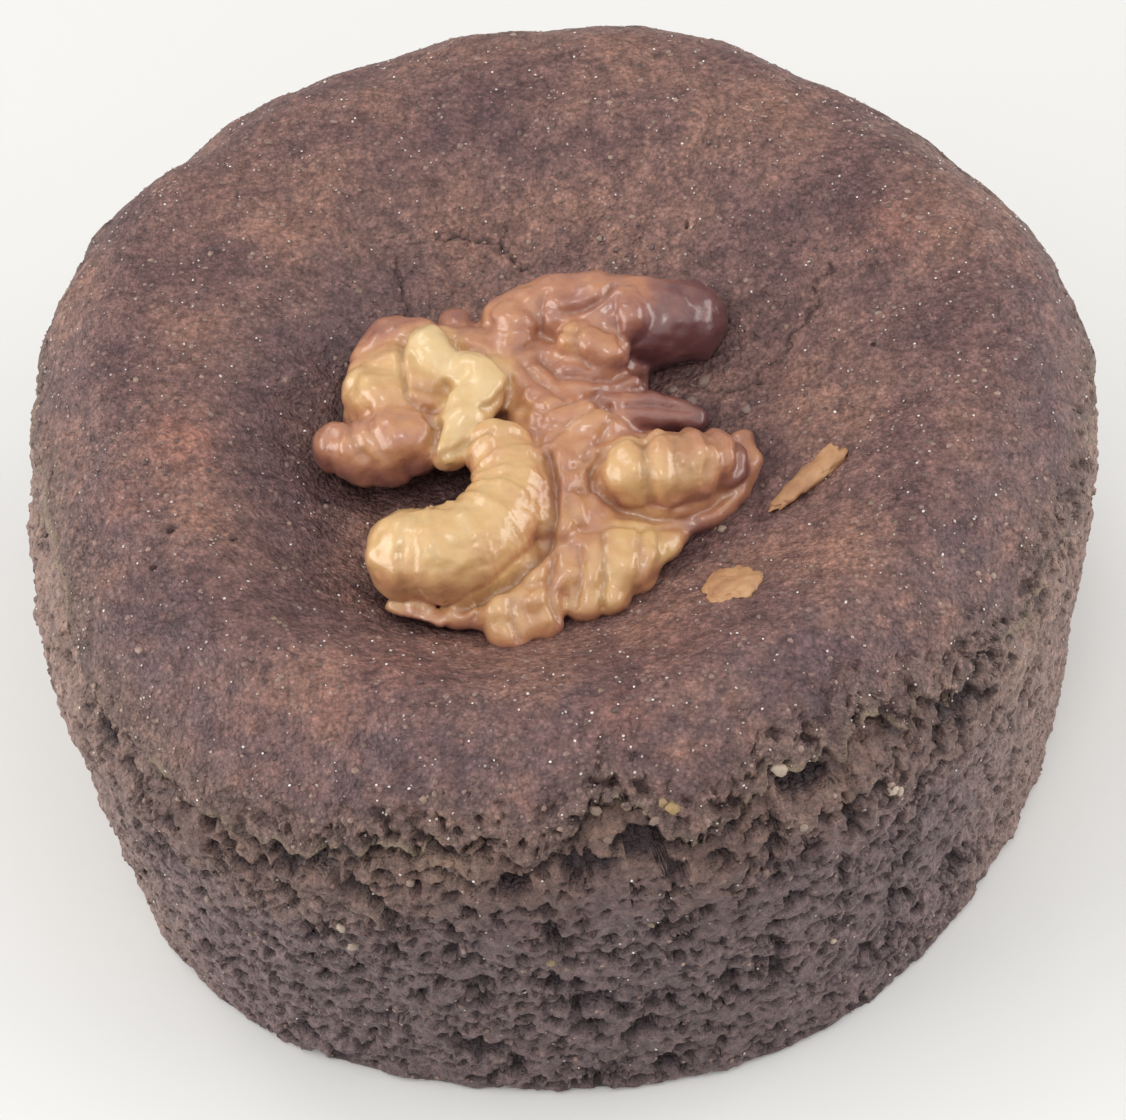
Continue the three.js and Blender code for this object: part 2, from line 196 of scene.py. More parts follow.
table_paint.node_tree.links.new(table_axes.outputs["Y"], table_light_share.inputs["Value"])
table_level = math_node(table_paint, "SUBTRACT", table_light_share.outputs["Result"], TABLE_MOTTLE / 2)
table_tone = math_node(
    table_paint, "MULTIPLY_ADD", grain(table_paint, table_place, 6.0), TABLE_MOTTLE, table_level,
)
paint(table_paint, table_shader, ramp(table_paint, table_tone, TABLE_COLOUR))
table_mesh.materials.append(table_paint)

# ---------------------------------------------------------------------------
# Top crust: the dry browned skin of the cake, from its sunken middle over the
# rounded rim to the torn line where it lifts off the crumb of the side. It is
# fine-grained, matt, with thin cracks, pinholes and a ragged, paler edge.
# ---------------------------------------------------------------------------
CAKE_SHIFT = np.array([-1.152, -0.19, 0.0])      # the cake's own axis in the frame, mm
CAKE_RADIUS = 31.0
BASE_RADIUS = 29.8
CAKE_HEIGHT = 30.1
RIM_ROUNDING = 8.6
FOOT_ROUNDING = 0.9
TOP_RISE_RIGHT, TOP_RISE_BACK = 0.055, 0.017
BASE_SHIFT = 0.7                                  # of the base to the right, because the cake leans
OUT_OF_ROUND = ((2, -0.009, 0), (3, 0.016, 0), (4, -0.007, -0.002), (5, 0.015, 0.005))
RIM_DIPS = ((50, 7, 1.1), (38, 9, 0.4), (134, 4, 0.8), (86, 4, 0.5))   # direction, reach, depth
HOLLOW_DEPTH = 4.8
HOLLOW_CENTRE = (-1.0, -3.0)
HOLLOW_DISTANCE = ((0, 17.5), (90, 15.5), (180, 13.6), (270, 17.0))    # direction, distance of its wall
HOLLOW_SLOPE = ((0, 9.0), (90, 7.5), (180, 5.4), (270, 6.0))           # direction, half-width of its wall
CRUST_EDGE = (                                    # direction, drop below the crest of the rim
    (-158, 2.9), (-138, 4.3), (-116, 6.1), (-99, 5.1), (-94, 5.9), (-85, 3.6), (-77, 5.1),
    (-66, 3.6), (-54, 3.9), (-40, 5.9), (-17, 6.0), (30, 4.6), (75, 5.6), (120, 4.4), (165, 5.2),
)
MEAN_EDGE_DROP = 5.0
FLAT_RADIUS = CAKE_RADIUS - RIM_ROUNDING
SHOULDER_HEIGHT = CAKE_HEIGHT - RIM_ROUNDING
RIM_LENGTH = RIM_ROUNDING * math.pi / 2
SIDE_LENGTH = SHOULDER_HEIGHT - FOOT_ROUNDING


def smooth_step(value, low, high):
    share = np.clip((value - low) / (high - low), 0.0, 1.0)
    return share * share * (3 - 2 * share)


def around_ring(entries, degrees):
    """Smooth value between (direction, value) entries that go once round."""
    first = entries[0][0]
    knots = np.array([direction - first for direction, _ in entries] + [360.0])
    values = np.array([value for _, value in entries] + [entries[0][1]])
    turn = (degrees - first) % 360
    before = np.clip(np.searchsorted(knots, turn, side="right") - 1, 0, len(entries) - 1)
    share = smooth_step(turn, knots[before], knots[before + 1])
    return values[before] + (values[before + 1] - values[before]) * share


def outline(angle):
    return 1 + sum(c * np.cos(n * angle) + s * np.sin(n * angle) for n, c, s in OUT_OF_ROUND)


def hollow(x, y):
    """Depth of the sunken middle."""
    dx, dy = x - HOLLOW_CENTRE[0], y - HOLLOW_CENTRE[1]
    degrees = np.degrees(np.arctan2(dy, dx))
    outwards = (np.hypot(dx, dy) - around_ring(HOLLOW_DISTANCE, degrees)) / around_ring(HOLLOW_SLOPE, degrees)
    return HOLLOW_DEPTH * (1 - smooth_step(outwards, -1, 1))


def top_height(x, y, angle):
    """Height of the plain top, with its slope and the low places in its rim."""
    outward = np.minimum(1, np.hypot(x, y) / CAKE_RADIUS)
    dips = 0
    for at, reach, depth in RIM_DIPS:
        away = (np.degrees(angle) - at + 180) % 360 - 180
        dips = dips + depth * np.exp(-((away / reach) ** 2))
    return CAKE_HEIGHT + TOP_RISE_RIGHT * x + TOP_RISE_BACK * y - dips * outward ** 4


def profile(along):
    """Radius, height and outward lean at a distance along the skin from the middle of the top."""
    on_rim = np.clip((along - FLAT_RADIUS) / RIM_ROUNDING, 0, math.pi / 2)
    down = np.clip(along - FLAT_RADIUS - RIM_LENGTH, 0, SIDE_LENGTH)
    on_foot = np.clip((along - FLAT_RADIUS - RIM_LENGTH - SIDE_LENGTH) / FOOT_ROUNDING, 0, math.pi / 2)
    radius = np.minimum(along, FLAT_RADIUS) + RIM_ROUNDING * np.sin(on_rim)
    radius = radius - (CAKE_RADIUS - BASE_RADIUS) * down / SIDE_LENGTH - FOOT_ROUNDING * (1 - np.cos(on_foot))
    height = CAKE_HEIGHT - RIM_ROUNDING * (1 - np.cos(on_rim)) - down - FOOT_ROUNDING * np.sin(on_foot)
    return radius, height, on_rim + on_foot


def skin_place(along, angle, relief):
    """Points of the cake's skin, in mm about its own axis, raised by a relief."""
    radius, height, lean = profile(along)
    out = (radius + relief * np.sin(lean)) * outline(angle)
    x = out * np.cos(angle) + BASE_SHIFT * (1 - height / CAKE_HEIGHT)
    y = out * np.sin(angle)
    sunk = np.where(lean < math.pi / 2, hollow(x, y), 0.0)
    z = height * top_height(x, y, angle) / CAKE_HEIGHT + relief * np.cos(lean) - sunk
    return np.stack([x, y, np.maximum(z, 0.0)], axis=1)


def plain_place(along, angle):
    return skin_place(along, angle, np.zeros_like(along))


def edge_along(angle):
    """Distance along the skin of the torn edge, without its small teeth."""
    drop = around_ring(CRUST_EDGE, np.degrees(angle))
    return FLAT_RADIUS + RIM_ROUNDING * np.arccos(1 - drop / RIM_ROUNDING)


def noise_at(points, size, layer=0.0):
    """Smooth noise, about -0.7 to 0.7, with features of a size in mm."""
    return np.array([noise.noise((x, y, z + layer)) for x, y, z in (points / size).tolist()])


def pebbles_at(points, size, layer=0.0):
    """Rounded grains packed side by side: 1 in the middle of each, 0 at its edge."""
    return np.array([1 - noise.voronoi((x, y, z + layer))[0][0] for x, y, z in (points / size).tolist()])


def set_places(mesh, places):
    """Puts a mesh's vertices at places given in mm about the cake's axis."""
    mesh.vertices.foreach_set("co", ((places + CAKE_SHIFT) * MM).astype(np.float32).ravel())
    mesh.update()


def vertex_places(mesh):
    flat = np.empty(len(mesh.vertices) * 3, np.float32)
    mesh.vertices.foreach_get("co", flat)
    return flat.reshape(-1, 3).astype(float)


def store(mesh, name, values):
    layer = mesh.attributes.new(name, "FLOAT", "POINT")
    layer.data.foreach_set("value", values.astype(np.float32))


def make_piece(name, mesh, material, node):
    """Links a finished mesh as a piece of the cake."""
    mesh.materials.append(material)
    for polygon in mesh.polygons:
        polygon.use_smooth = True
    piece = bpy.data.objects.new(name, mesh)
    bpy.context.scene.collection.objects.link(piece)
    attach(piece, "root")
    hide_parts(node)
    return piece


CRUST_CELLS = 300                                 # squares across the sheet that makes the top
CRUST_RINGS = 4                                   # rows from the torn edge to the hidden underside
LUMPS = (5.2, 0.34)                               # size and height of each scale of relief, mm
SWELLS = (2.3, 0.2)
GRANULES = ((0.85, 0.06), (0.45, 0.06))
EDGE_TEETH = ((4.2, 1.6), (1.7, 1.5), (0.75, 0.8), (0.4, 0.35))
TEARS = (                                         # direction, how badly the edge is torn there
    (-158, 0.25), (-128, 0.4), (-108, 1.0), (-62, 1.1), (-35, 0.75), (10, 0.5), (90, 0.45), (150, 0.4),
)
RIM_PITS = (0.8, 1.5, 0.35)                       # size, steepness and depth of small pits near the edge
CRACKS = (                                        # lines on the crust, with width and depth
    (((-5.1, 11.7), (-3.2, 11.8), (-1.5, 11.2), (-0.4, 9.6), (0.4, 9.2)), 0.13, 0.36),
    (((-1.5, 11.2), (-0.9, 12.3)), 0.12, 0.26),
    (((17.2, 4.8), (16.0, 3.0), (14.8, 1.4), (13.9, 0.8)), 0.13, 0.3),
    (((13.9, 0.8), (12.2, -0.9), (10.7, -1.1), (9.1, -0.4)), 0.12, 0.24),
    (((16.0, 3.0), (14.6, 3.4), (13.6, 2.7)), 0.12, 0.2),
    (((-7.6, 10.5), (-7.2, 8.0), (-7.0, 6.4)), 0.16, 0.2),
)
CRACK_JAG = 0.55                                  # how far a crack strays from its line, mm
PINHOLES = (                                      # place and radius
    ((-16.7, -10.9), 0.24), ((-20.8, -12.6), 0.18), ((-12.1, -6.1), 0.2), ((18.6, -1.4), 0.15),
    ((12.9, -5.4), 0.15), ((15.2, 7.3), 0.16), ((-19.9, -10.1), 0.3), ((9.3, 10.1), 0.14),
)
PINHOLE_DEPTH = 0.5
WRINKLES = (0.1, 0.42, 5.0, 0.85)                 # turn of one, height, length, share it reaches inwards
WRINKLE_DIRECTION = math.radians(128)             # in which they are strongest
PATCHES = (                                       # soft reddish patches: place, radius, strength
    ((-19.6, -4.3), 1.8, 1.0), ((-22.2, -7.5), 1.5, 0.45), ((-11.4, -22.7), 1.4, 0.5),
    ((-16.0, -22.3), 1.2, 0.4), ((2.8, -25.1), 1.5, 0.5), ((20.5, 6.1), 1.8, 0.55),
    ((-8.5, -20.5), 2.2, 0.4), ((6.0, -20.0), 2.4, 0.25),
)
PATCH_SWELL = 0.45                                # height of the strongest patch
LIP_HEIGHT = 0.2                                  # by which the torn edge stands up, mm
CRACK_SHADE_DEPTH = 0.4                              # at which the painted shade in a crack is darkest, mm
# The bands below are distances from the torn edge, in mm.
LIP_BAND = (0.2, 2.2)
PIT_BAND = (0.4, 4.5)
EDGE_BAND = (0.3, 3.8)                            # where the crust takes the edge's paler colour
TORN_BAND = (0.0, 0.6)
RIM_SHADE_BAND = ((0.8, 2.6), (5.0, 9.5))              # where the painted shade on the rim starts and ends


def line_gap(x, y, line):
    """Distance in plan from each point to a line of points."""
    nearest = np.full(len(x), 1e9)
    for (x0, y0), (x1, y1) in zip(line, line[1:]):
        dx, dy = x1 - x0, y1 - y0
        share = np.clip(((x - x0) * dx + (y - y0) * dy) / (dx * dx + dy * dy), 0, 1)
        nearest = np.minimum(nearest, np.hypot(x - x0 - share * dx, y - y0 - share * dy))
    return nearest


def groove(x, y, line, width, depth):
    """Depth at each point of a crack that follows a line of points."""
    return depth * (1 - smooth_step(line_gap(x, y, line), width * 0.3, width * 1.6))


def wrinkles(points):
    """Fine folds that run down the wall of the sunken middle, where it sank most, at the back left."""
    turn, height, length, inner = WRINKLES
    dx, dy = points[:, 0] - HOLLOW_CENTRE[0], points[:, 1] - HOLLOW_CENTRE[1]
    around, out = np.arctan2(dy, dx), np.hypot(dx, dy)
    degrees = np.degrees(around)
    far = around_ring(HOLLOW_DISTANCE, degrees)
    on_wall = smooth_step(out / far, inner * 0.55, inner) * (1 - smooth_step(out / far, 1.2, 1.55))
    sector = np.clip(np.cos(around - WRINKLE_DIRECTION) * 1.3, 0.12, 1)
    folds = noise_at(np.stack([around / turn, out / length, np.full_like(out, 2.5)], axis=1), 1.0)
    return height * on_wall * sector * folds


def crust_relief(points, wander):
    """Relief of the crust at plain points of its skin, how deep its cracks are, and its red patches."""
    x, y = points[:, 0], points[:, 1]
    relief = LUMPS[1] * noise_at(points, LUMPS[0], 3.7) + SWELLS[1] * noise_at(points, SWELLS[0], 8.1)
    for size, height in GRANULES:
        relief += height * (pebbles_at(points, size, 2.0) - 0.5)
    relief += wrinkles(points)
    jagged = noise_at(points, 0.5, 12.0)
    xw, yw = x + CRACK_JAG * (wander + 0.5 * jagged), y - CRACK_JAG * (wander - 0.5 * jagged)
    cuts = np.zeros(len(points))
    for line, width, depth in CRACKS:
        cuts = np.maximum(cuts, groove(xw, yw, line, width, depth))
    xw, yw = x + 0.3 * jagged, y - 0.3 * wander
    for (px, py), radius in PINHOLES:
        near = np.hypot(xw - px, yw - py)
        cuts = np.maximum(cuts, PINHOLE_DEPTH * (1 - smooth_step(near, radius * 0.5, radius * 1.4)))
    red = np.zeros(len(points))
    for (px, py), radius, strength in PATCHES:
        near = np.hypot(x + 0.9 * wander - px, y + 0.9 * jagged - py)
        red = np.maximum(red, strength * np.exp(-((near / radius) ** 2)))
    return relief - cuts + PATCH_SWELL * red, cuts, red


def teeth(angle):
    """Ragged advance and retreat of the torn edge, mm."""
    ring = np.stack([np.cos(angle), np.sin(angle), np.zeros_like(angle)], axis=1) * CAKE_RADIUS
    return tear_at(angle) * sum(depth * noise_at(ring, size, 5.0 + size) for size, depth in EDGE_TEETH)


def tear_at(angle):
    return around_ring(TEARS, np.degrees(angle))


def crust_sheet():
    """A fine square sheet with a few rows turned under from its border, closed below."""
    bm = bmesh.new()
    turned = bm.verts.layers.int.new("turned")
    bmesh.ops.create_grid(bm, x_segments=CRUST_CELLS, y_segments=CRUST_CELLS, size=1.0)
    border = [edge for edge in bm.edges if edge.is_boundary]
    for ring in range(1, CRUST_RINGS + 1):
        made = bmesh.ops.extrude_edge_only(bm, edges=border)["geom"]
        for vertex in made:
            if isinstance(vertex, bmesh.types.BMVert):
                vertex[turned] = ring
        border = [edge for edge in made if isinstance(edge, bmesh.types.BMEdge) and edge.is_boundary]
    bmesh.ops.holes_fill(bm, edges=border)
    bmesh.ops.recalc_face_normals(bm, faces=bm.faces)
    return mesh_of(bm, "cake_crust")


crust_mesh = crust_sheet()
sheet = vertex_places(crust_mesh)
ring_of = np.empty(len(crust_mesh.vertices), np.int32)
crust_mesh.attributes["turned"].data.foreach_get("value", ring_of)
# Square sheet to round: rings of the square become circles of equal spacing.
across, deep = sheet[:, 0], sheet[:, 1]
reach = np.maximum(np.abs(across), np.abs(deep))
sideways = np.abs(across) >= np.abs(deep)          # in the left and right quarters of the sheet
over_across = np.where(sideways & (across != 0), across, 1)
over_deep = np.where(~sideways & (deep != 0), deep, 1)
crust_angle = np.where(
    sideways,
    np.where(across > 0, 0, math.pi) + (math.pi / 4) * deep / over_across,
    np.where(deep > 0, math.pi / 2, -math.pi / 2) - (math.pi / 4) * across / over_deep,
)
crust_edge = edge_along(crust_angle) + teeth(crust_angle)
mean_edge = FLAT_RADIUS + RIM_ROUNDING * math.acos(1 - MEAN_EDGE_DROP / RIM_ROUNDING)
crust_along = reach * mean_edge + (crust_edge - mean_edge) * reach ** 6
crust_points = plain_place(crust_along, crust_angle)
wander = noise_at(crust_points, 1.1, 6.0)
relief, cuts, red = crust_relief(crust_points, wander)
from_edge = crust_edge - crust_along
tear = tear_at(crust_angle)
lip = LIP_HEIGHT * tear * (1 - smooth_step(from_edge, *LIP_BAND))
pit_size, pit_steepness, pit_depth = RIM_PITS
rough = noise_at(crust_points, pit_size, 15.0) + 0.6 * noise_at(crust_points, pit_size * 0.4, 18.0)
rim_pits = pit_steepness * np.clip(rough - 0.16, 0, pit_depth)
rim_pits *= (1 - smooth_step(from_edge, *PIT_BAND)) * tear
relief = relief - rim_pits
cuts = np.maximum(cuts, 0.6 * rim_pits)
wall_share = hollow(crust_points[:, 0], crust_points[:, 1]) / HOLLOW_DEPTH
TURNED_RELIEF = (0.0, -0.42, -1.0, -1.6, -1.6)    # depth of each turned-under row
TURNED_ALONG = (0.0, 0.03, -0.35, -2.4, -2.4)
UNDERSIDE_DROP = 4.0                              # of the closed underside, below the rows turned under
relief = np.where(ring_of == 0, relief + lip, lip + np.take(TURNED_RELIEF, ring_of))
crust_along = crust_along + np.take(TURNED_ALONG, ring_of)
crust_places = skin_place(crust_along, crust_angle, relief)
crust_places[ring_of == CRUST_RINGS] *= (0.95, 0.95, 1.0)
crust_places[ring_of == CRUST_RINGS, 2] -= UNDERSIDE_DROP
set_places(crust_mesh, crust_places)
store(crust_mesh, "edge", 1 - smooth_step(from_edge, *EDGE_BAND))
here_and_there = np.clip(0.5 + 1.6 * noise_at(crust_points, 2.6, 21.0), 0, 1)
store(crust_mesh, "torn", (1 - smooth_step(from_edge, *TORN_BAND)) * (ring_of < 2) * here_and_there)
# Painted shade: cracks, pinholes and the pits near the edge are painted darker the deeper they go.
store(crust_mesh, "cut", np.clip(cuts / CRACK_SHADE_DEPTH, 0, 1))
store(crust_mesh, "red", red)
# Painted shade: the crust is painted darker on its rounded rim, most on the near side, and on the steep left
# wall of the hollow.
rim_starts, rim_ends = RIM_SHADE_BAND
rim_shade = smooth_step(from_edge, *rim_starts) * (1 - smooth_step(from_edge, *rim_ends))
rim_shade = rim_shade * (0.75 + 1.2 * wander)
near_side = np.clip(0.5 - np.sin(crust_angle), 0.15, 1)
left_side = np.clip(0.1 - np.cos(crust_angle), 0, 1)
steep = 4 * wall_share * (1 - wall_share)
store(crust_mesh, "dark", np.clip(rim_shade * near_side + 0.8 * steep * left_side, 0, 1))

crust_finish, crust_shader, crust_object = finish("baked_crust", 0.55)
crust_shader.inputs["Specular IOR Level"].default_value = 0.4


def pebbles(material, place, per_metre):
    """Packed rounded grains on the piece's own coordinates; 0 in each middle, higher at its rim."""
    texture = material.node_tree.nodes.new("ShaderNodeTexVoronoi")
    texture.inputs["Scale"].default_value = per_metre
    material.node_tree.links.new(place, texture.inputs["Vector"])
    return texture.outputs["Distance"]


def blend_colours(material, share, first, second, mode="MIX"):
    """Mix of two colour sockets or plain colours by a share socket or number."""
    node = material.node_tree.nodes.new("ShaderNodeMix")
    node.data_type = "RGBA"
    node.blend_type = mode
    sockets = (node.inputs["Factor"], node.inputs["A"], node.inputs["B"])
    for socket, value in zip(sockets, (share, first, second)):
        if isinstance(value, bpy.types.NodeSocket):
            material.node_tree.links.new(value, socket)
        else:
            socket.default_value = value if isinstance(value, (int, float)) else (*value, 1)
    return node.outputs["Result"]


def attribute(material, name):
    """Grey value that the mesh carries at each vertex."""
    node = material.node_tree.nodes.new("ShaderNodeAttribute")
    node.attribute_name = name
    return node.outputs["Fac"]


def tint(material, colour, name, share, other):
    """Colour turned towards another where the mesh carries a value of that name."""
    amount = math_node(material, "MULTIPLY", attribute(material, name), share)
    return blend_colours(material, amount, colour, other)


def bump(material, shader, layers):
    """Fine relief from (height socket, height in metres) layers, chained onto the shader."""
    nodes, links = material.node_tree.nodes, material.node_tree.links
    normal = None
    for height, distance in layers:
        node = nodes.new("ShaderNodeBump")
        node.inputs["Distance"].default_value = abs(distance)
        node.invert = distance < 0
        links.new(height, node.inputs["Height"])
        if normal is not None:
            links.new(normal, node.inputs["Normal"])
        normal = node.outputs["Normal"]
    links.new(normal, shader.inputs["Normal"])


crust_colour = ramp(crust_finish, grain(crust_finish, crust_object, 150, 4.0, 0.6), (
    (0.30, (0.116, 0.062, 0.062)), (0.45, (0.176, 0.096, 0.087)), (0.55, (0.216, 0.119, 0.098)),
    (0.70, (0.280, 0.150, 0.113)),
))
# The first two tints are painted shade, on the rim and the hollow's left wall and round the kernel; the paler
# edge and the red patches are the crust's own colour.
for name, share, colour in (
    ("dark", 0.62, (0.112, 0.072, 0.080)), ("kernel_contact_shade", 0.7, (0.060, 0.030, 0.032)),
    ("edge", 0.75, (0.168, 0.116, 0.100)), ("red", 0.66, (0.35, 0.158, 0.112)),
):
    crust_colour = tint(crust_finish, crust_colour, name, share, colour)
speckle = ramp(crust_finish, grain(crust_finish, crust_object, 1000, 5.0, 0.85), (
    (0.36, (0.56, 0.53, 0.56)), (0.50, (1.0, 0.98, 0.98)), (0.64, (1.56, 1.52, 1.46)),
))
crust_colour = blend_colours(crust_finish, 1.0, crust_colour, speckle, "MULTIPLY")
# Painted light and shade on the packed grains: each is painted lighter in its raised middle and darker in the
# gaps round it.
for per_metre, strength in ((2500, 0.75), (4600, 0.85)):
    crumbs = ramp(crust_finish, pebbles(crust_finish, crust_object, per_metre), (
        (0.05, (1.30, 1.29, 1.27)), (0.40, (1.0, 1.0, 1.0)), (0.80, (0.70, 0.68, 0.69)),
    ))
    crust_colour = blend_colours(crust_finish, strength, crust_colour, crumbs, "MULTIPLY")
crust_colour = tint(crust_finish, crust_colour, "torn", 0.9, (0.265, 0.200, 0.132))
# Painted shade in the cracks and pits, near black.
crust_colour = tint(crust_finish, crust_colour, "cut", 1.0, (0.03, 0.015, 0.016))
paint(crust_finish, crust_shader, crust_colour)
edge_grain = grain(crust_finish, crust_object, 1500, 4.0, 0.7)
edge_grain = math_node(crust_finish, "MULTIPLY", edge_grain, attribute(crust_finish, "edge"))
bump(crust_finish, crust_shader, (
    (grain(crust_finish, crust_object, 600, 4.0, 0.75), 0.00042),
    (edge_grain, 0.00040),
    (pebbles(crust_finish, crust_object, 2500), -0.00010),
    (pebbles(crust_finish, crust_object, 5200), -0.00006),
))
make_piece("cake_crust", crust_mesh, crust_finish, "cake")

# ---------------------------------------------------------------------------
# Crumb of the side: the open, moist inside of the cake that shows below the
# torn crust. It rose against the tin, so it is full of burst bubbles, wider
# than high, and stands a little back under the crust. Its base is flat.
# ---------------------------------------------------------------------------
SIDE_WEDGES = 3                                    # the crumb is made as wedges that meet at the axis
SIDE_COLUMNS = 500                                 # of one wedge
SIDE_ROWS = 188
HIDDEN_TOP = 2.0                                   # of the crumb that goes up under the crust, mm
CAVITIES = (                                       # direction, height, half-width, half-height, depth
    (-96, 22.4, 1.1, 0.9, 1.4), (-88.5, 23.6, 1.9, 0.9, 1.1), (-83, 24.6, 1.8, 0.9, 1.1),
    (-66, 25.6, 1.6, 0.9, 1.0), (-116, 22.2, 1.8, 0.7, 0.9), (-111, 20.8, 1.6, 0.7, 0.9),
    (-102, 4.9, 1.6, 1.2, 1.4), (-91, 10.3, 1.5, 0.9, 1.2), (-92, 16.9, 1.2, 0.8, 1.0),
    (-141, 23.4, 1.0, 0.6, 0.8), (-101, 12.6, 1.4, 0.7, 1.0), (-90.5, 7.8, 1.3, 0.8, 1.1),
)
BUBBLES = (                                        # how many, half-width range, depth range
    (110, (0.65, 1.1), (0.7, 1.1)), (3600, (0.30, 0.60), (0.42, 0.92)), (8000, (0.16, 0.32), (0.2, 0.45)),
)
BUBBLE_HEIGHTS = (0.3, 25.0)
SMALL_ONES = 1.7                                   # power that makes small bubbles commoner than large
BUBBLE_MARGIN = 1.9                                # half-widths round a bubble in which it is worked out
BUBBLE_FLATNESS = (0.6, 1.1)
BUBBLE_WALL = (0.66, 1.04)                         # its wall starts and ends at these shares of its width
CALM_SIDES = (0.62, 0.92)                          # cosine of the direction where the calm starts and is full
CALM_DEPTH = 0.5
SIDE_GRAIN = ((2.6, 0.3), (0.9, 0.2), (0.42, 0.16))
UNDERCUT = 0.7
SHADOW_REACH = 1.5                                 # of the painted shadow in the hollows right under the torn edge, mm
HIDDEN_DEPTH = 0.8                                 # of the crumb under the crust, mm
HOLE_SHADE_DEPTH = 0.66                             # at which the painted shade on a hole's floor is darkest
FIRST_SEAM = math.radians(35)
UNDERCUT_REACH = 3.0
OVERHANG = 0.3                                     # share of its depth by which a bubble's floor lies higher
LID_HEIGHT = 17.0                                  # of the middle of the hidden lid, mm


def wall_sheet(name):
    """A fine square sheet with one more row round its border, which will run in to the axis."""
    bm = bmesh.new()
    inner = bm.verts.layers.int.new("inner")
    bmesh.ops.create_grid(bm, x_segments=SIDE_COLUMNS, y_segments=SIDE_ROWS, size=1.0)
    border = [edge for edge in bm.edges if edge.is_boundary]
    made = bmesh.ops.extrude_edge_only(bm, edges=border)["geom"]
    for vertex in made:
        if isinstance(vertex, bmesh.types.BMVert):
            vertex[inner] = 1
    for edge in border:
        edge.smooth = False
    bmesh.ops.recalc_face_normals(bm, faces=bm.faces)
    return mesh_of(bm, name)


def close_at_axis(mesh):
    """Merges the inner row where it meets itself on the axis, which closes the wedge."""
    bm = bmesh.new()
    bm.from_mesh(mesh)
    inner = bm.verts.layers.int["inner"]
    on_axis = [vertex for vertex in bm.verts if vertex[inner]]
    bmesh.ops.remove_doubles(bm, verts=on_axis, dist=1e-7)
    bmesh.ops.recalc_face_normals(bm, faces=bm.faces)
    bm.to_mesh(mesh)
    bm.free()


def calm_side(angle):
    """1 at the right and at the left of the cake, where the crumb is smoother and is painted paler for the
    light on those sides, 0 elsewhere.
    """
    return smooth_step(np.abs(np.cos(angle)), *CALM_SIDES)


def bubble_depths(turn, height, warp_turn, warp_height):
    """Depth of the burst bubbles on a grid of rows and columns, turn in mm round the side."""
    depths = np.zeros_like(turn)
    around = turn[0]
    level = height[:, 0]
    draw = random.Random(41)
    holes = [(math.radians(d) * CAKE_RADIUS, h, w, t, deep) for d, h, w, t, deep in CAVITIES]
    for count, widths, deeps in BUBBLES:
        for _ in range(count):
            at = draw.uniform(-math.pi, math.pi)
            up = draw.uniform(*BUBBLE_HEIGHTS)
            calm = 1 - CALM_DEPTH * calm_side(at)
            size = draw.uniform(0, 1) ** SMALL_ONES
            width = (widths[0] + (widths[1] - widths[0]) * size) * (0.7 + 0.3 * calm)
            deep = (deeps[0] + (deeps[1] - deeps[0]) * size) * calm
            holes.append((at * CAKE_RADIUS, up, width, width * draw.uniform(*BUBBLE_FLATNESS), deep))
    half_round = math.pi * CAKE_RADIUS
    for at, up, half_width, half_height, deep in holes:
        beside = np.abs((around - at + half_round) % (2 * half_round) - half_round)
        columns = np.nonzero(beside < half_width * BUBBLE_MARGIN + 0.6)[0]
        rows = np.nonzero(np.abs(level - up) < half_height * BUBBLE_MARGIN + 1.6)[0]
        if not len(rows) or not len(columns):
            continue
        block = np.ix_(rows, columns)
        dx = (turn[block] + warp_turn[block] - at + half_round) % (2 * half_round) - half_round
        dy = height[block] + warp_height[block] - up
        inside = np.sqrt((dx / half_width) ** 2 + (dy / half_height) ** 2)
        hole = deep * (1 - smooth_step(inside, *BUBBLE_WALL))
        depths[block] = np.maximum(depths[block], hole)
    return depths


END_ALONG = FLAT_RADIUS + RIM_LENGTH + SIDE_LENGTH + FOOT_ROUNDING * math.pi / 2


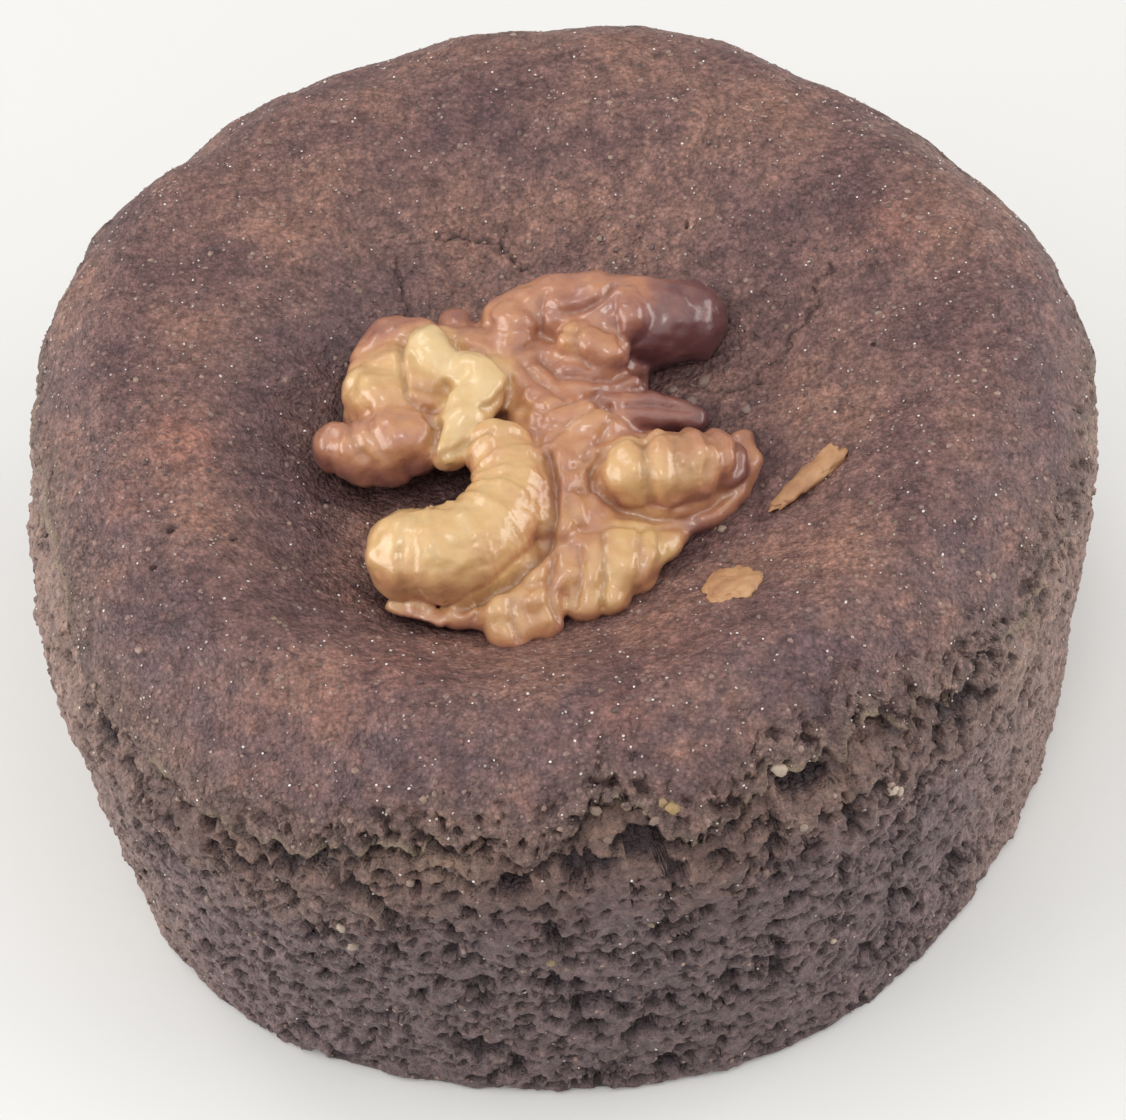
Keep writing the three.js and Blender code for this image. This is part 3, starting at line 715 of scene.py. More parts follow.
def crumb_wedge(number):
    """One wedge of the crumb, with its holes."""
    mesh = wall_sheet(f"cake_crumb_{number + 1}")
    sheet = vertex_places(mesh)
    inner = np.empty(len(sheet), np.int32)
    mesh.attributes["inner"].data.foreach_get("value", inner)
    column = np.rint((sheet[:, 0] + 1) / 2 * SIDE_COLUMNS).astype(int)
    row = np.rint((1 - sheet[:, 1]) / 2 * SIDE_ROWS).astype(int)
    turn = 2 * math.pi / SIDE_WEDGES
    column_angle = FIRST_SEAM + turn * (number + np.arange(SIDE_COLUMNS + 1) / SIDE_COLUMNS)
    column_angle = (column_angle + math.pi) % (2 * math.pi) - math.pi
    edge = edge_along(column_angle) + teeth(column_angle)
    down_share = np.linspace(0, 1, SIDE_ROWS + 1)[:, None]
    side_along = (edge - HIDDEN_TOP)[None, :] * (1 - down_share) + END_ALONG * down_share
    shape = side_along.shape
    side_angle = np.broadcast_to(column_angle, shape).ravel()
    below_edge = (side_along - edge[None, :]).ravel()
    side_along = side_along.ravel()
    points = plain_place(side_along, side_angle)
    warp_turn = 0.4 * noise_at(points, 1.3, 1.0) + 0.28 * noise_at(points, 0.45, 4.0)
    warp_height = 0.3 * noise_at(points, 1.1, 7.0) + 0.24 * noise_at(points, 0.4, 3.0)
    depth = bubble_depths((side_angle * CAKE_RADIUS).reshape(shape), points[:, 2].reshape(shape),
                          warp_turn.reshape(shape), warp_height.reshape(shape)).ravel()
    tear = tear_at(side_angle)
    set_back = UNDERCUT * tear * (1 - smooth_step(below_edge, 0, UNDERCUT_REACH))
    set_back += HIDDEN_DEPTH * (1 - smooth_step(below_edge, -1.6, 0.1))
    ripple = sum(height * noise_at(points, size, 9.0) for size, height in SIDE_GRAIN)
    standing = 1 - smooth_step(side_along, END_ALONG - 1.6, END_ALONG - 0.2)   # no relief on the flat base
    places = skin_place(side_along, side_angle, (-set_back - depth + ripple - 0.12) * standing)
    places[:, 2] = np.maximum(places[:, 2] + OVERHANG * depth * standing, 0)
    vertex = row * (SIDE_COLUMNS + 1) + column
    wall = places[vertex]
    axis = np.stack([np.zeros(len(row)), np.zeros(len(row)), LID_HEIGHT * (1 - row / SIDE_ROWS)], axis=1)
    wall[inner == 1] = axis[inner == 1]
    set_places(mesh, wall)
    # Painted shade: the crumb is painted darker the deeper a bubble goes, and a painted shadow lies in
    # patches right under the torn crust.
    patchy = np.clip(0.45 + 1.6 * noise_at(points, 1.9, 31.0), 0, 1)
    shadowed = patchy * tear * (1 - smooth_step(below_edge, 0.1, SHADOW_REACH))
    store(mesh, "hole", np.clip(0.92 * np.maximum(depth / HOLE_SHADE_DEPTH, shadowed), 0, 0.92)[vertex])
    store(mesh, "calm", calm_side(side_angle)[vertex])
    store(mesh, "low", smooth_step(below_edge, 1.5, 11.0)[vertex])
    close_at_axis(mesh)
    return mesh


crumb_finish, crumb_shader, crumb_object = finish("open_crumb", 0.52)
crumb_shader.inputs["Specular IOR Level"].default_value = 0.45
crumb_colour = ramp(crumb_finish, grain(crumb_finish, crumb_object, 140, 4.0, 0.6), (
    (0.32, (0.112, 0.066, 0.058)), (0.50, (0.158, 0.096, 0.082)), (0.66, (0.208, 0.134, 0.102)),
))
crumb_colour = tint(crumb_finish, crumb_colour, "low", 0.75, (0.140, 0.100, 0.108))
# Painted light: the crumb is painted paler at the left and right, where more light falls on the side.
crumb_colour = tint(crumb_finish, crumb_colour, "calm", 0.68, (0.285, 0.192, 0.160))
crumb_speckle = ramp(crumb_finish, grain(crumb_finish, crumb_object, 1300, 5.0, 0.8), (
    (0.36, (0.58, 0.55, 0.56)), (0.50, (1.0, 0.98, 0.98)), (0.64, (1.52, 1.48, 1.42)),
))
crumb_colour = blend_colours(crumb_finish, 1.0, crumb_colour, crumb_speckle, "MULTIPLY")
# Painted shade in the bubbles and under the torn crust, near black.
crumb_colour = tint(crumb_finish, crumb_colour, "hole", 1.0, (0.024, 0.013, 0.018))
paint(crumb_finish, crumb_shader, crumb_colour)
bump(crumb_finish, crumb_shader, (
    (grain(crumb_finish, crumb_object, 1000, 4.0, 0.7), 0.00034),
    (pebbles(crumb_finish, crumb_object, 2600), -0.00014),
    (pebbles(crumb_finish, crumb_object, 5200), -0.00007),
))
crumb_wedges = [
    make_piece(f"cake_crumb_{number + 1}", crumb_wedge(number), crumb_finish, "cake")
    for number in range(SIDE_WEDGES)
]

# ---------------------------------------------------------------------------
# Walnut kernel: one half of a shelled walnut, pressed into the batter before
# baking. Its lobes grew together; thin pink-brown skin covers pale flesh.
# ---------------------------------------------------------------------------
LOBES = (                         # points with radius and shade of skin, cross-ridged or not, flatness
    # hook that curls round the notch, and the strip of flesh above it
    (((-7.2, -12.6, 28, 2.4, 0.8), (-5.3, -12.9, 28.2, 2.6, 0.8), (-3.3, -11.9, 28.2, 2.45, 0.76),
      (-2, -9.9, 28.1, 2.2, 0.74), (-1.7, -7.9, 28.1, 2, 0.74), (-2.2, -6.2, 28.2, 1.8, 0.7)), True, 1),
    (((-4.9, -5.9, 28.3, 1, 0.86), (-4.5, -4.6, 28.5, 1.2, 0.9), (-3.7, -3.1, 28.6, 1.3, 0.9),
      (-2.8, -1.8, 28.6, 1.4, 0.9)), False, 1),
    # left half: low lobe, its upper part, the skin behind, broken flesh, a knob
    (((-10.9, -3.9, 27.1, 1.4, 0.5), (-9.6, -4.4, 27.3, 1.85, 0.5), (-7.8, -4.3, 27.6, 2.1, 0.52),
      (-6.9, -4.3, 27.7, 1.9, 0.5)), True, 1),
    (((-9.4, -0.2, 27.5, 1.5, 0.82), (-8.2, -1.6, 27.8, 1.9, 0.72)), False, 1),
    (((-9.1, 2.4, 27.2, 1.35, 0.4), (-8, 3.7, 27.3, 1.45, 0.35), (-6.6, 3.3, 27.6, 1.5, 0.42)), False, 1),
    (((-5.8, 1.8, 28.4, 1.5, 0.97), (-5.3, 0.4, 28.4, 1.5, 0.97)), False, 1),
    (((-4.4, -0.3, 28.4, 1.4, 1), (-2.8, -0.9, 28.6, 1.5, 1)), False, 1),
    (((-4.3, 4.6, 27.4, 1, 0.38), (-3.7, 3.3, 27.6, 0.9, 0.42)), False, 1),
    (((-8.7, 1.2, 27, 1.8, 0.6), (-7, 0.6, 27.5, 2, 0.66), (-6.6, -1.8, 27.6, 2, 0.6)), False, 1),
    (((-5.6, 2.2, 27, 2, 0.5), (-3, 1.4, 27.2, 2.2, 0.46), (-0.8, 1, 27.4, 2.2, 0.44)), False, 1),
    # long lobe at the back and its knuckles
    (((-1.1, 3.8, 27.8, 1.9, 0.42), (1, 4, 28, 2.5, 0.4), (3.7, 3.3, 28.1, 2.85, 0.36),
      (6.4, 3, 28, 2.7, 0.2), (8.7, 3.3, 27.5, 2.35, 0.06)), False, 1),
    (((-1.1, 3.2, 28.9, 1.2, 0.5), (-0.7, 2.5, 28.9, 1.1, 0.5)), False, 1),
    (((3.7, 4.2, 29.5, 1.35, 0.36), (2.6, 4.1, 29.4, 1.2, 0.36)), False, 1),
    (((5.5, 2.7, 29.7, 1.3, 0.42), (5.4, 1.7, 29.7, 1.3, 0.3)), False, 1),
    (((2.6, 0.6, 29.2, 1.4, 0.5), (4, -0.1, 28.9, 1.3, 0.46)), False, 1),
    # folds between the halves
    (((-0.3, -0.9, 27.7, 1.7, 0.45), (2.4, -1.4, 27.6, 1.9, 0.42), (4.6, -1.3, 27.2, 1.5, 0.34)), False, 1),
    (((0.8, -3.9, 27.8, 1.8, 0.45), (2.8, -5.1, 27.9, 1.8, 0.45), (3.8, -5.2, 27.6, 1.4, 0.42)), False, 1),
    (((4.5, -2.9, 27.1, 1.5, 0.3), (6.6, -2.8, 26.8, 1.2, 0.18), (8.6, -3.1, 26.3, 0.9, 0.12)), False, 1),
    (((1, -6.3, 27.9, 1.5, 0.48), (0.9, -8.9, 27.8, 1.6, 0.46), (1, -11.3, 27.5, 1.5, 0.5)), False, 1),
    # right lobe and the rim round its foot
    (((5.1, -8.2, 27.9, 2.05, 0.78), (7.2, -8.1, 28, 2.15, 0.62), (9.3, -7.5, 27.5, 1.9, 0.42)), True, 1),
    (((3.7, -9.2, 26.8, 0.9, 0.42), (5.6, -10.2, 26.5, 1, 0.38), (8, -10, 26.3, 1, 0.38),
      (10.1, -8.9, 26.3, 1, 0.42), (11.1, -7, 26.3, 0.95, 0.45), (11, -5.1, 26.4, 0.8, 0.35)), False, 1),
    # sheet at the front with its scallops
    (((2.1, -12.2, 26.9, 2.2, 0.66), (3.8, -12.6, 26.8, 2.3, 0.74),
      (5.6, -11.8, 26.4, 1.6, 0.66)), False, 0.6),
    (((1.9, -13.9, 26.5, 1.3, 0.6), (1.7, -15.3, 26, 1, 0.62)), False, 1),
    (((3.5, -13.4, 26.6, 1.3, 0.75), (3.2, -14.9, 26, 1.1, 0.68)), False, 1),
    (((5.1, -12.4, 26.4, 1.2, 0.72), (4.7, -13.7, 26, 1, 0.7)), False, 1),
    (((6.3, -11.5, 26.2, 0.9, 0.66), (7.2, -10.7, 26, 0.7, 0.66)), False, 1),
    # sheet at the front left, under the hook
    (((-2.7, -14.5, 26.7, 1.6, 0.62), (-1, -14.1, 26.9, 1.7, 0.6),
      (0.2, -13.4, 26.9, 1.5, 0.55)), False, 0.7),
    (((-3.8, -15.2, 26.3, 1.1, 0.55), (-4.9, -15.4, 25.9, 0.8, 0.5)), False, 1),
    (((-2.5, -15.5, 26.5, 1.3, 0.68), (-2.3, -16.7, 25.9, 1.2, 0.66)), False, 1),
    (((-0.7, -15.1, 26.6, 1.2, 0.64), (-0.6, -16.1, 26, 1.2, 0.62)), False, 1),
    # flap of skin at the foot of the hook
    (((-8.4, -14.7, 26.3, 0.4, 0.62), (-7.2, -15.2, 26.4, 0.55, 0.5),
      (-5.9, -15.6, 26.2, 0.5, 0.6)), False, 0.6),
    # body below, which joins them all
    (((-8.8, -1.3, 26, 2.2, 0.4), (-5.4, -0.4, 26.2, 2.6, 0.4), (-2, -0.1, 26.4, 2.9, 0.4),
      (1.3, 0.1, 26.4, 2.9, 0.4), (4.3, 0.6, 26.2, 2.2, 0.4)), False, 1),
    (((0.8, -2.6, 26.3, 3, 0.42), (1.9, -7.7, 26.3, 3, 0.42), (1.9, -11.4, 26, 2.2, 0.42)), False, 1),
    (((1.9, -7.7, 26.3, 2.8, 0.42), (5.2, -6.8, 26.2, 2.6, 0.42), (8.3, -7, 26, 2.2, 0.42)), False, 1),
)
RIDGE_PITCH = 1.5                                  # of the cross ridges of a lobe, mm
RIDGE_HEIGHT = 0.15
KERNEL_VOXEL = 0.18 * MM
KERNEL_SUNK = 0.5                                  # how far the kernel sits in the crust, mm
CREASES = (                       # lines seen from above, width, depth
    # at the root of the hook, between the low lobe and the strip, and two folds of the low lobe
    (((-5.4, -6.6), (-4.6, -6.4), (-3.8, -5.8), (-2.5, -6.1)), 0.22, 0.35),
    (((-5.8, -6.3), (-5.7, -5.4), (-5.5, -4.5), (-5.9, -3.8)), 0.25, 0.6),
    (((-10.5, -1.8), (-10.2, -4.3), (-9.8, -5.6), (-8.9, -6.3)), 0.2, 0.3),
    (((-9.2, -2.8), (-8.9, -5.0), (-8.5, -6.0), (-7.8, -6.3), (-6.7, -6.2)), 0.25, 0.3),
    # round the broken flesh
    (((-7.2, 2.3), (-7.3, -0.2), (-7.1, -2.4), (-6.5, -3.2), (-5.6, -3.1)), 0.2, 0.45),
    (((-6.4, -1.9), (-5.6, -2.1), (-5.0, -1.5)), 0.35, 0.4),
    (((-4.3, 1.5), (-3.0, 0.7), (-1.8, -0.7), (-1.3, -1.5), (-1.6, -2.4), (-2.3, -3.3),
      (-3.0, -3.8)), 0.2, 0.4),
    (((-7.2, 2.3), (-6.4, 3.3), (-5.6, 3.3), (-4.5, 2.2), (-4.0, 1.1)), 0.2, 0.4),
    # long lobe at the back
    (((1.1, 2.7), (1.8, 2.2), (3.0, 2.1), (4.1, 2.5), (4.7, 3.5)), 0.22, 0.45),
    (((4.6, 1.8), (4.7, 0.8), (4.9, -0.2), (5.3, -0.4)), 0.22, 0.35),
    (((0.8, 3.7), (0.6, 2.2), (0.1, 0.9), (-1.0, 0.2)), 0.22, 0.35),
    (((0.4, -0.1), (1.3, -1.8), (3.3, -2.0), (4.3, -1.8), (6.1, -0.4)), 0.3, 0.6),
    (((2.7, 1.1), (2.4, -0.3), (3.0, -1.2)), 0.22, 0.3),
    (((1.1, 1.4), (2.2, 0.2), (3.3, 1.1), (4.3, 0.7)), 0.2, 0.25),
    # round and across the right lobe
    (((2.7, -8.4), (2.7, -9.3), (3.4, -9.9), (4.2, -10.2), (5.8, -10.8), (7.4, -10.8), (8.9, -10.2),
      (10.1, -9.3), (10.7, -8.4), (10.8, -7.1), (10.2, -5.6)), 0.25, 0.6),
    (((2.7, -8.4), (3.4, -7.3), (4.7, -6.9), (6.4, -7.1)), 0.25, 0.4),
    (((7.1, -7.4), (7.1, -9.3), (7.1, -10.1), (6.7, -10.5)), 0.2, 0.3),
    (((8.9, -6.9), (8.9, -8.9), (8.6, -9.9)), 0.2, 0.28),
    (((5.5, -7.5), (5.4, -9.4), (5.1, -10.3)), 0.18, 0.15),
    # front sheets: between the scallops, along the top, and where the two sheets part
    (((2.9, -12.0), (2.9, -14.2), (2.7, -15.7)), 0.22, 0.35),
    (((5.0, -11.8), (4.8, -14.3), (4.2, -15.6)), 0.22, 0.35),
    (((1.7, -13.1), (1.7, -14.5), (1.2, -15.8)), 0.22, 0.35),
    (((6.0, -11.7), (5.9, -13.2), (5.3, -14.5)), 0.2, 0.25),
    (((1.5, -12.2), (3.3, -11.6), (4.9, -11.6), (6.8, -11.2), (8.0, -10.9)), 0.2, 0.3),
    (((0.3, -13.2), (0.1, -14.7), (0.0, -15.9), (0.3, -16.5)), 0.25, 0.5),
    (((-2.1, -15.9), (-2.1, -16.9), (-1.8, -17.6)), 0.25, 0.4),
    (((-3.9, -15.5), (-4.1, -16.2), (-4.0, -17.3)), 0.22, 0.35),
    (((-1.8, -14.7), (-0.9, -15.3), (-0.1, -14.9)), 0.2, 0.25),
    # folds of skin in the middle
    (((-0.8, -0.2), (-0.1, -1.6), (0.9, -2.8), (1.7, -3.8)), 0.2, 0.35),
    (((-1.2, -2.9), (0.4, -4.4), (1.9, -3.8), (3.6, -2.5), (5.9, -2.0)), 0.2, 0.35),
    (((0.5, -6.4), (1.5, -5.5), (2.8, -4.7), (3.9, -3.4)), 0.2, 0.3),
    (((2.2, -7.6), (3.3, -6.3), (4.0, -4.9)), 0.2, 0.3),
    (((1.3, -8.7), (2.2, -8.1), (2.6, -7.5)), 0.2, 0.3),
    (((0.3, -9.9), (1.1, -9.9), (2.3, -9.7), (2.7, -9.5)), 0.2, 0.3),
    (((1.4, -10.5), (1.3, -11.2), (1.7, -11.7)), 0.35, 0.4),
    (((4.9, -3.4), (6.5, -3.2), (8.3, -3.2)), 0.2, 0.3),
)
CREASE_SHARE = 0.7                # of those depths that shows, where the skin stretches over a crease
UNDER_HOOK = (                    # the deep crease along the foot of the hook
    ((-4.6, -15.5), (-3.9, -15.4), (-2.3, -14.9), (-0.9, -13.9), (0.0, -12.4),
     (0.4, -11.3), (0.6, -9.5), (0.3, -7.3)), 0.35, 0.7,
)
KNUCKLES = (                      # small swellings: place seen from above, radius, height
    ((-11.1, -3.9), 0.9, 0.25), ((-7.3, -5.5), 1.1, 0.3), ((-9.4, -1.0), 0.8, 0.2), ((-8.6, -2.3), 0.7, 0.25),
    ((-7.9, 2.9), 0.8, 0.2), ((-5.8, 0.3), 1.0, 0.15), ((-2.8, -1.9), 1.0, 0.2), ((-3.8, -4.4), 0.7, 0.2),
    ((-5.2, -6.4), 0.6, 0.25), ((-1.6, -10.3), 0.7, 0.12), ((-0.8, 2.2), 0.8, 0.25), ((1.3, 2.4), 0.8, 0.25),
    ((3.9, 3.4), 0.7, 0.2), ((5.6, 1.3), 0.7, 0.25), ((1.8, 0.1), 0.6, 0.25), ((3.3, -0.3), 0.6, 0.25),
    ((4.2, -1.0), 0.5, 0.2), ((0.8, -4.9), 0.5, 0.3), ((-0.4, -2.7), 0.4, 0.25), ((1.0, -7.6), 0.7, 0.25),
    ((0.8, -9.7), 0.6, 0.2), ((3.7, -5.2), 0.5, 0.3), ((2.7, -6.8), 0.5, 0.3), ((4.6, -9.4), 0.9, 0.15),
    ((6.2, -9.5), 0.8, 0.2), ((7.9, -9.3), 0.6, 0.25), ((9.6, -8.3), 0.5, 0.2), ((3.9, -14.3), 0.7, 0.3),
    ((5.4, -13.5), 0.6, 0.3), ((2.2, -14.7), 0.6, 0.25), ((1.0, -14.2), 0.5, 0.25), ((-3.0, -16.1), 0.7, 0.3),
    ((-0.7, -15.9), 0.6, 0.35), ((-0.7, -14.2), 0.5, 0.25),
)


def smooth_line(points, count=40):
    """Evenly spaced points on a smooth curve through the given ones."""
    points = [Vector(point) for point in points]
    if len(points) == 2:
        return np.array([points[0].lerp(points[1], i / (count - 1)) for i in range(count)])
    padded = [2 * points[0] - points[1], *points, 2 * points[-1] - points[-2]]
    fine = []
    for a, b, c, d in zip(padded, padded[1:], padded[2:], padded[3:]):
        bend, twist = 2 * a - 5 * b + 4 * c - d, 3 * b - a - 3 * c + d
        for i in range(16):
            t = i / 16
            fine.append(0.5 * (2 * b + (c - a) * t + bend * t ** 2 + twist * t ** 3))
    fine.append(points[-1])
    fine = np.array([tuple(p) for p in fine])
    walked = np.concatenate([[0], np.cumsum(np.linalg.norm(np.diff(fine, axis=0), axis=1))])
    spots = np.linspace(0, walked[-1], count)
    return np.stack([np.interp(spots, walked, fine[:, k]) for k in range(3)], axis=1)


def lobe_stations(spots):
    """Places, radii, shades and distances walked at even steps along a lobe."""
    centre = smooth_line([spot[:3] for spot in spots])
    steps = np.linalg.norm(np.diff(centre, axis=0), axis=1)
    share, given = np.linspace(0, 1, len(centre)), np.linspace(0, 1, len(spots))
    radii = np.interp(share, given, [spot[3] for spot in spots])
    shades = np.interp(share, given, [spot[4] for spot in spots])
    return centre, radii, shades, np.concatenate([[0], np.cumsum(steps)])


def add_lobe(bm, spots, flatness):
    """A ball drawn out along its line."""
    centre, girths, _, walked = lobe_stations(spots)
    length, radii = float(walked[-1]), (spots[0][3], spots[-1][3])
    ball = bmesh.ops.create_uvsphere(bm, u_segments=24, v_segments=28, radius=1.0)["verts"]
    whole = radii[0] + length + radii[-1]
    for vertex in ball:
        x, y, z = vertex.co
        share = math.acos(max(-1.0, min(1.0, -z))) / math.pi
        along = whole * (0.55 * share + 0.45 * (1 - math.cos(share * math.pi)) / 2) - radii[0]
        station = min(max(along / length, 0), 1) * (len(centre) - 1)
        i = min(int(station), len(centre) - 2)
        spot = centre[i] + (centre[i + 1] - centre[i]) * (station - i)
        forward = Vector(centre[i + 1] - centre[i]).normalized()
        girth = float(np.interp(station, range(len(centre)), girths))
        if along < 0:
            girth = math.sqrt(max(0, radii[0] ** 2 - along ** 2))
            spot = spot + np.array(forward) * along
        if along > length:
            girth = math.sqrt(max(0, radii[-1] ** 2 - (along - length) ** 2))
            spot = spot + np.array(forward) * (along - length)
        sideways = Vector((forward.y, -forward.x, 0)).normalized()
        upward = sideways.cross(forward)
        around = math.hypot(x, y) or 1.0
        vertex.co = Vector(spot) + sideways * (girth * x / around) + upward * (girth * flatness * y / around)


def solid_mesh(source, name):
    """Mesh of an object with its modifiers applied; the object is removed."""
    depsgraph = bpy.context.evaluated_depsgraph_get()
    mesh = bpy.data.meshes.new_from_object(source.evaluated_get(depsgraph))
    mesh.name = name
    bpy.data.objects.remove(source)
    return mesh


def kernel_blank():
    """All lobes fused into one skin and eased where they meet."""
    bm = bmesh.new()
    for spots, _, flatness in LOBES:
        add_lobe(bm, spots, flatness)
    bmesh.ops.recalc_face_normals(bm, faces=bm.faces)
    mesh = mesh_of(bm, "lobes")
    set_places(mesh, vertex_places(mesh))
    lobes = bpy.data.objects.new("lobes", mesh)
    bpy.context.scene.collection.objects.link(lobes)
    fuse = lobes.modifiers.new("fuse", "REMESH")
    fuse.mode = "VOXEL"
    fuse.voxel_size = KERNEL_VOXEL
    ease = lobes.modifiers.new("ease", "SMOOTH")
    ease.factor = 0.5
    ease.iterations = 3
    return solid_mesh(lobes, "walnut_kernel")


def lobe_field(points):
    """Shade of skin at each point, from the lobes near it, and the height of the cross ridges."""
    total = np.full(len(points), 1e-6)
    shade = 0.42 * total
    ridges = np.zeros(len(points))
    for spots, ridged, _ in LOBES:
        centre, radii, shades, walked = lobe_stations(spots)
        away = np.linalg.norm(points[:, None, :] - centre[None], axis=2)
        over = away - radii[None]
        nearest = np.argmin(over, axis=1)
        gap = np.clip(over[np.arange(len(points)), nearest], 0, None)
        weight = np.exp(-((gap / 0.35) ** 2))
        total += weight
        shade += weight * shades[nearest]
        if ridged:
            wave = np.cos(2 * math.pi * walked[nearest] / RIDGE_PITCH)
            ridges = np.maximum(ridges, 0) + weight * RIDGE_HEIGHT * wave
    return shade / total, ridges


def skin_points(mesh):
    """Places and outward directions of a finished mesh's vertices, in mm about the cake's axis."""
    facing = np.empty(len(mesh.vertices) * 3, np.float32)
    mesh.vertices.foreach_get("normal", facing)
    return vertex_places(mesh) / MM - CAKE_SHIFT, facing.reshape(-1, 3).astype(float)


def crease_cut(points, line, width, depth):
    """Depth at each point of a soft crease, which is cut into what faces up."""
    return depth * np.exp(-((line_gap(points[:, 0], points[:, 1], line) / width) ** 2)) * faces_up


kernel_mesh = kernel_blank()
kernel, normals = skin_points(kernel_mesh)
kernel_shade, ridge_lift = lobe_field(kernel)
faces_up = np.clip(normals[:, 2] * 2.5, 0, 1)
lift = ridge_lift + 0.2 * noise_at(kernel, 1.5, 2.0) + 0.1 * noise_at(kernel, 0.75, 5.0)
# Painted shade: the skin is painted darker in its creases and in the valleys between the cross ridges.
kernel_crease = 2.0 * np.clip(-ridge_lift, 0, None)
for line, width, depth in CREASES:
    cut = crease_cut(kernel, line, width, CREASE_SHARE * depth)
    lift -= cut
    kernel_crease = np.maximum(kernel_crease, cut)
hook_line, hook_radii, _, _ = lobe_stations(LOBES[0][0])
hook_gap = (np.linalg.norm(kernel[:, None, :] - hook_line[None], axis=2) - hook_radii[None]).min(axis=1)
cut = crease_cut(kernel, *UNDER_HOOK) * smooth_step(hook_gap, 0.05, 0.4)
lift -= cut
kernel_crease = np.maximum(kernel_crease, cut)
for spot, radius, height in KNUCKLES:
    near = np.linalg.norm(kernel[:, :2] - np.array(spot), axis=1)
    lift += height * np.exp(-((near / radius) ** 2)) * faces_up
kernel = kernel + normals * lift[:, None]
floor_angle = np.arctan2(kernel[:, 1], kernel[:, 0])
crust_floor = top_height(kernel[:, 0], kernel[:, 1], floor_angle) - hollow(kernel[:, 0], kernel[:, 1])
kernel[:, 2] = np.maximum(kernel[:, 2], crust_floor - KERNEL_SUNK)
set_places(kernel_mesh, kernel)
store(kernel_mesh, "shade", kernel_shade)
store(kernel_mesh, "crease", np.clip(kernel_crease / 0.5, 0, 1))
# Painted shade: the skin is painted darker and redder where it faces sideways or down, away from the light.
store(kernel_mesh, "flank_shade", 1 - smooth_step(normals[:, 2], -0.1, 0.8))
# Painted shade: the crust is painted darker where it meets the kernel, for the kernel's contact shadow.
KERNEL_SHADE_BAND = (-0.6, 1.1)                           # from the kernel's outline, seen from above, mm
top_seats, top_facing = skin_points(crust_mesh)
kernel_gap = np.full(len(top_seats), 1e9)
for spots, _, _ in LOBES:
    line = [spot[:2] for spot in spots]
    lobe_gap = line_gap(top_seats[:, 0], top_seats[:, 1], line) - max(spot[3] for spot in spots)
    kernel_gap = np.minimum(kernel_gap, lobe_gap)
store(crust_mesh, "kernel_contact_shade", 1 - smooth_step(kernel_gap, *KERNEL_SHADE_BAND))

kernel_finish, kernel_shader, kernel_object = finish("walnut_skin", 0.36)
kernel_shader.inputs["Subsurface Weight"].default_value = 0.12
kernel_shader.inputs["Subsurface Radius"].default_value = (0.0012, 0.0006, 0.0003)
kernel_shader.inputs["Specular IOR Level"].default_value = 0.5
kernel_shader.inputs["Coat Weight"].default_value = 0.8
kernel_shader.inputs["Coat Roughness"].default_value = 0.2
patchy = math_node(kernel_finish, "SUBTRACT", grain(kernel_finish, kernel_object, 330, 4.0, 0.65), 0.5)
skin_tone = math_node(kernel_finish, "MULTIPLY_ADD", patchy, 0.7, attribute(kernel_finish, "shade"))
# Painted shade on the flanks.
skin_tone = math_node(kernel_finish, "MULTIPLY_ADD", attribute(kernel_finish, "flank_shade"), -0.26, skin_tone)
skin_colour = ramp(kernel_finish, skin_tone, (
    (0.02, (0.110, 0.036, 0.038)), (0.12, (0.170, 0.062, 0.054)), (0.27, (0.275, 0.108, 0.076)),
    (0.42, (0.420, 0.182, 0.100)), (0.52, (0.490, 0.235, 0.113)), (0.66, (0.560, 0.315, 0.140)),
    (0.80, (0.615, 0.385, 0.165)), (0.98, (0.665, 0.475, 0.240)),
))
# Painted shade in the creases and between the cross ridges.
skin_colour = tint(kernel_finish, skin_colour, "crease", 0.42, (0.17, 0.060, 0.035))
paint(kernel_finish, kernel_shader, skin_colour)
bump(kernel_finish, kernel_shader, ((grain(kernel_finish, kernel_object, 900, 3.0, 0.5), 0.00016),))
make_piece("walnut_kernel", kernel_mesh, kernel_finish, "walnut")

# ---------------------------------------------------------------------------
# Chips of nut: a long sliver and a broad crumb of walnut that lay on the
# batter and were baked almost flush into the crust at the right front.
# ---------------------------------------------------------------------------
NUT_CHIPS = (                      # place, half-sizes, turn, unevenness, how much thicker its far end is
    ((14.0, -9.5), (2.55, 0.72, 0.46), 35, 0.24, 0.35), ((9.3, -16.3), (1.45, 1.7, 0.5), -15, 0.3, 0.0),
)
CHIP_LIFT = 0.05                                   # of a chip's middle above the plain crust, mm
CHIP_BLUNTNESS = 3.4                               # power that keeps a chip's width up towards its ends


def crust_height(x, y):
    """Height of the plain crust where the skin is flat, without its fine relief."""
    return top_height(x, y, np.arctan2(y, x)) - hollow(x, y)


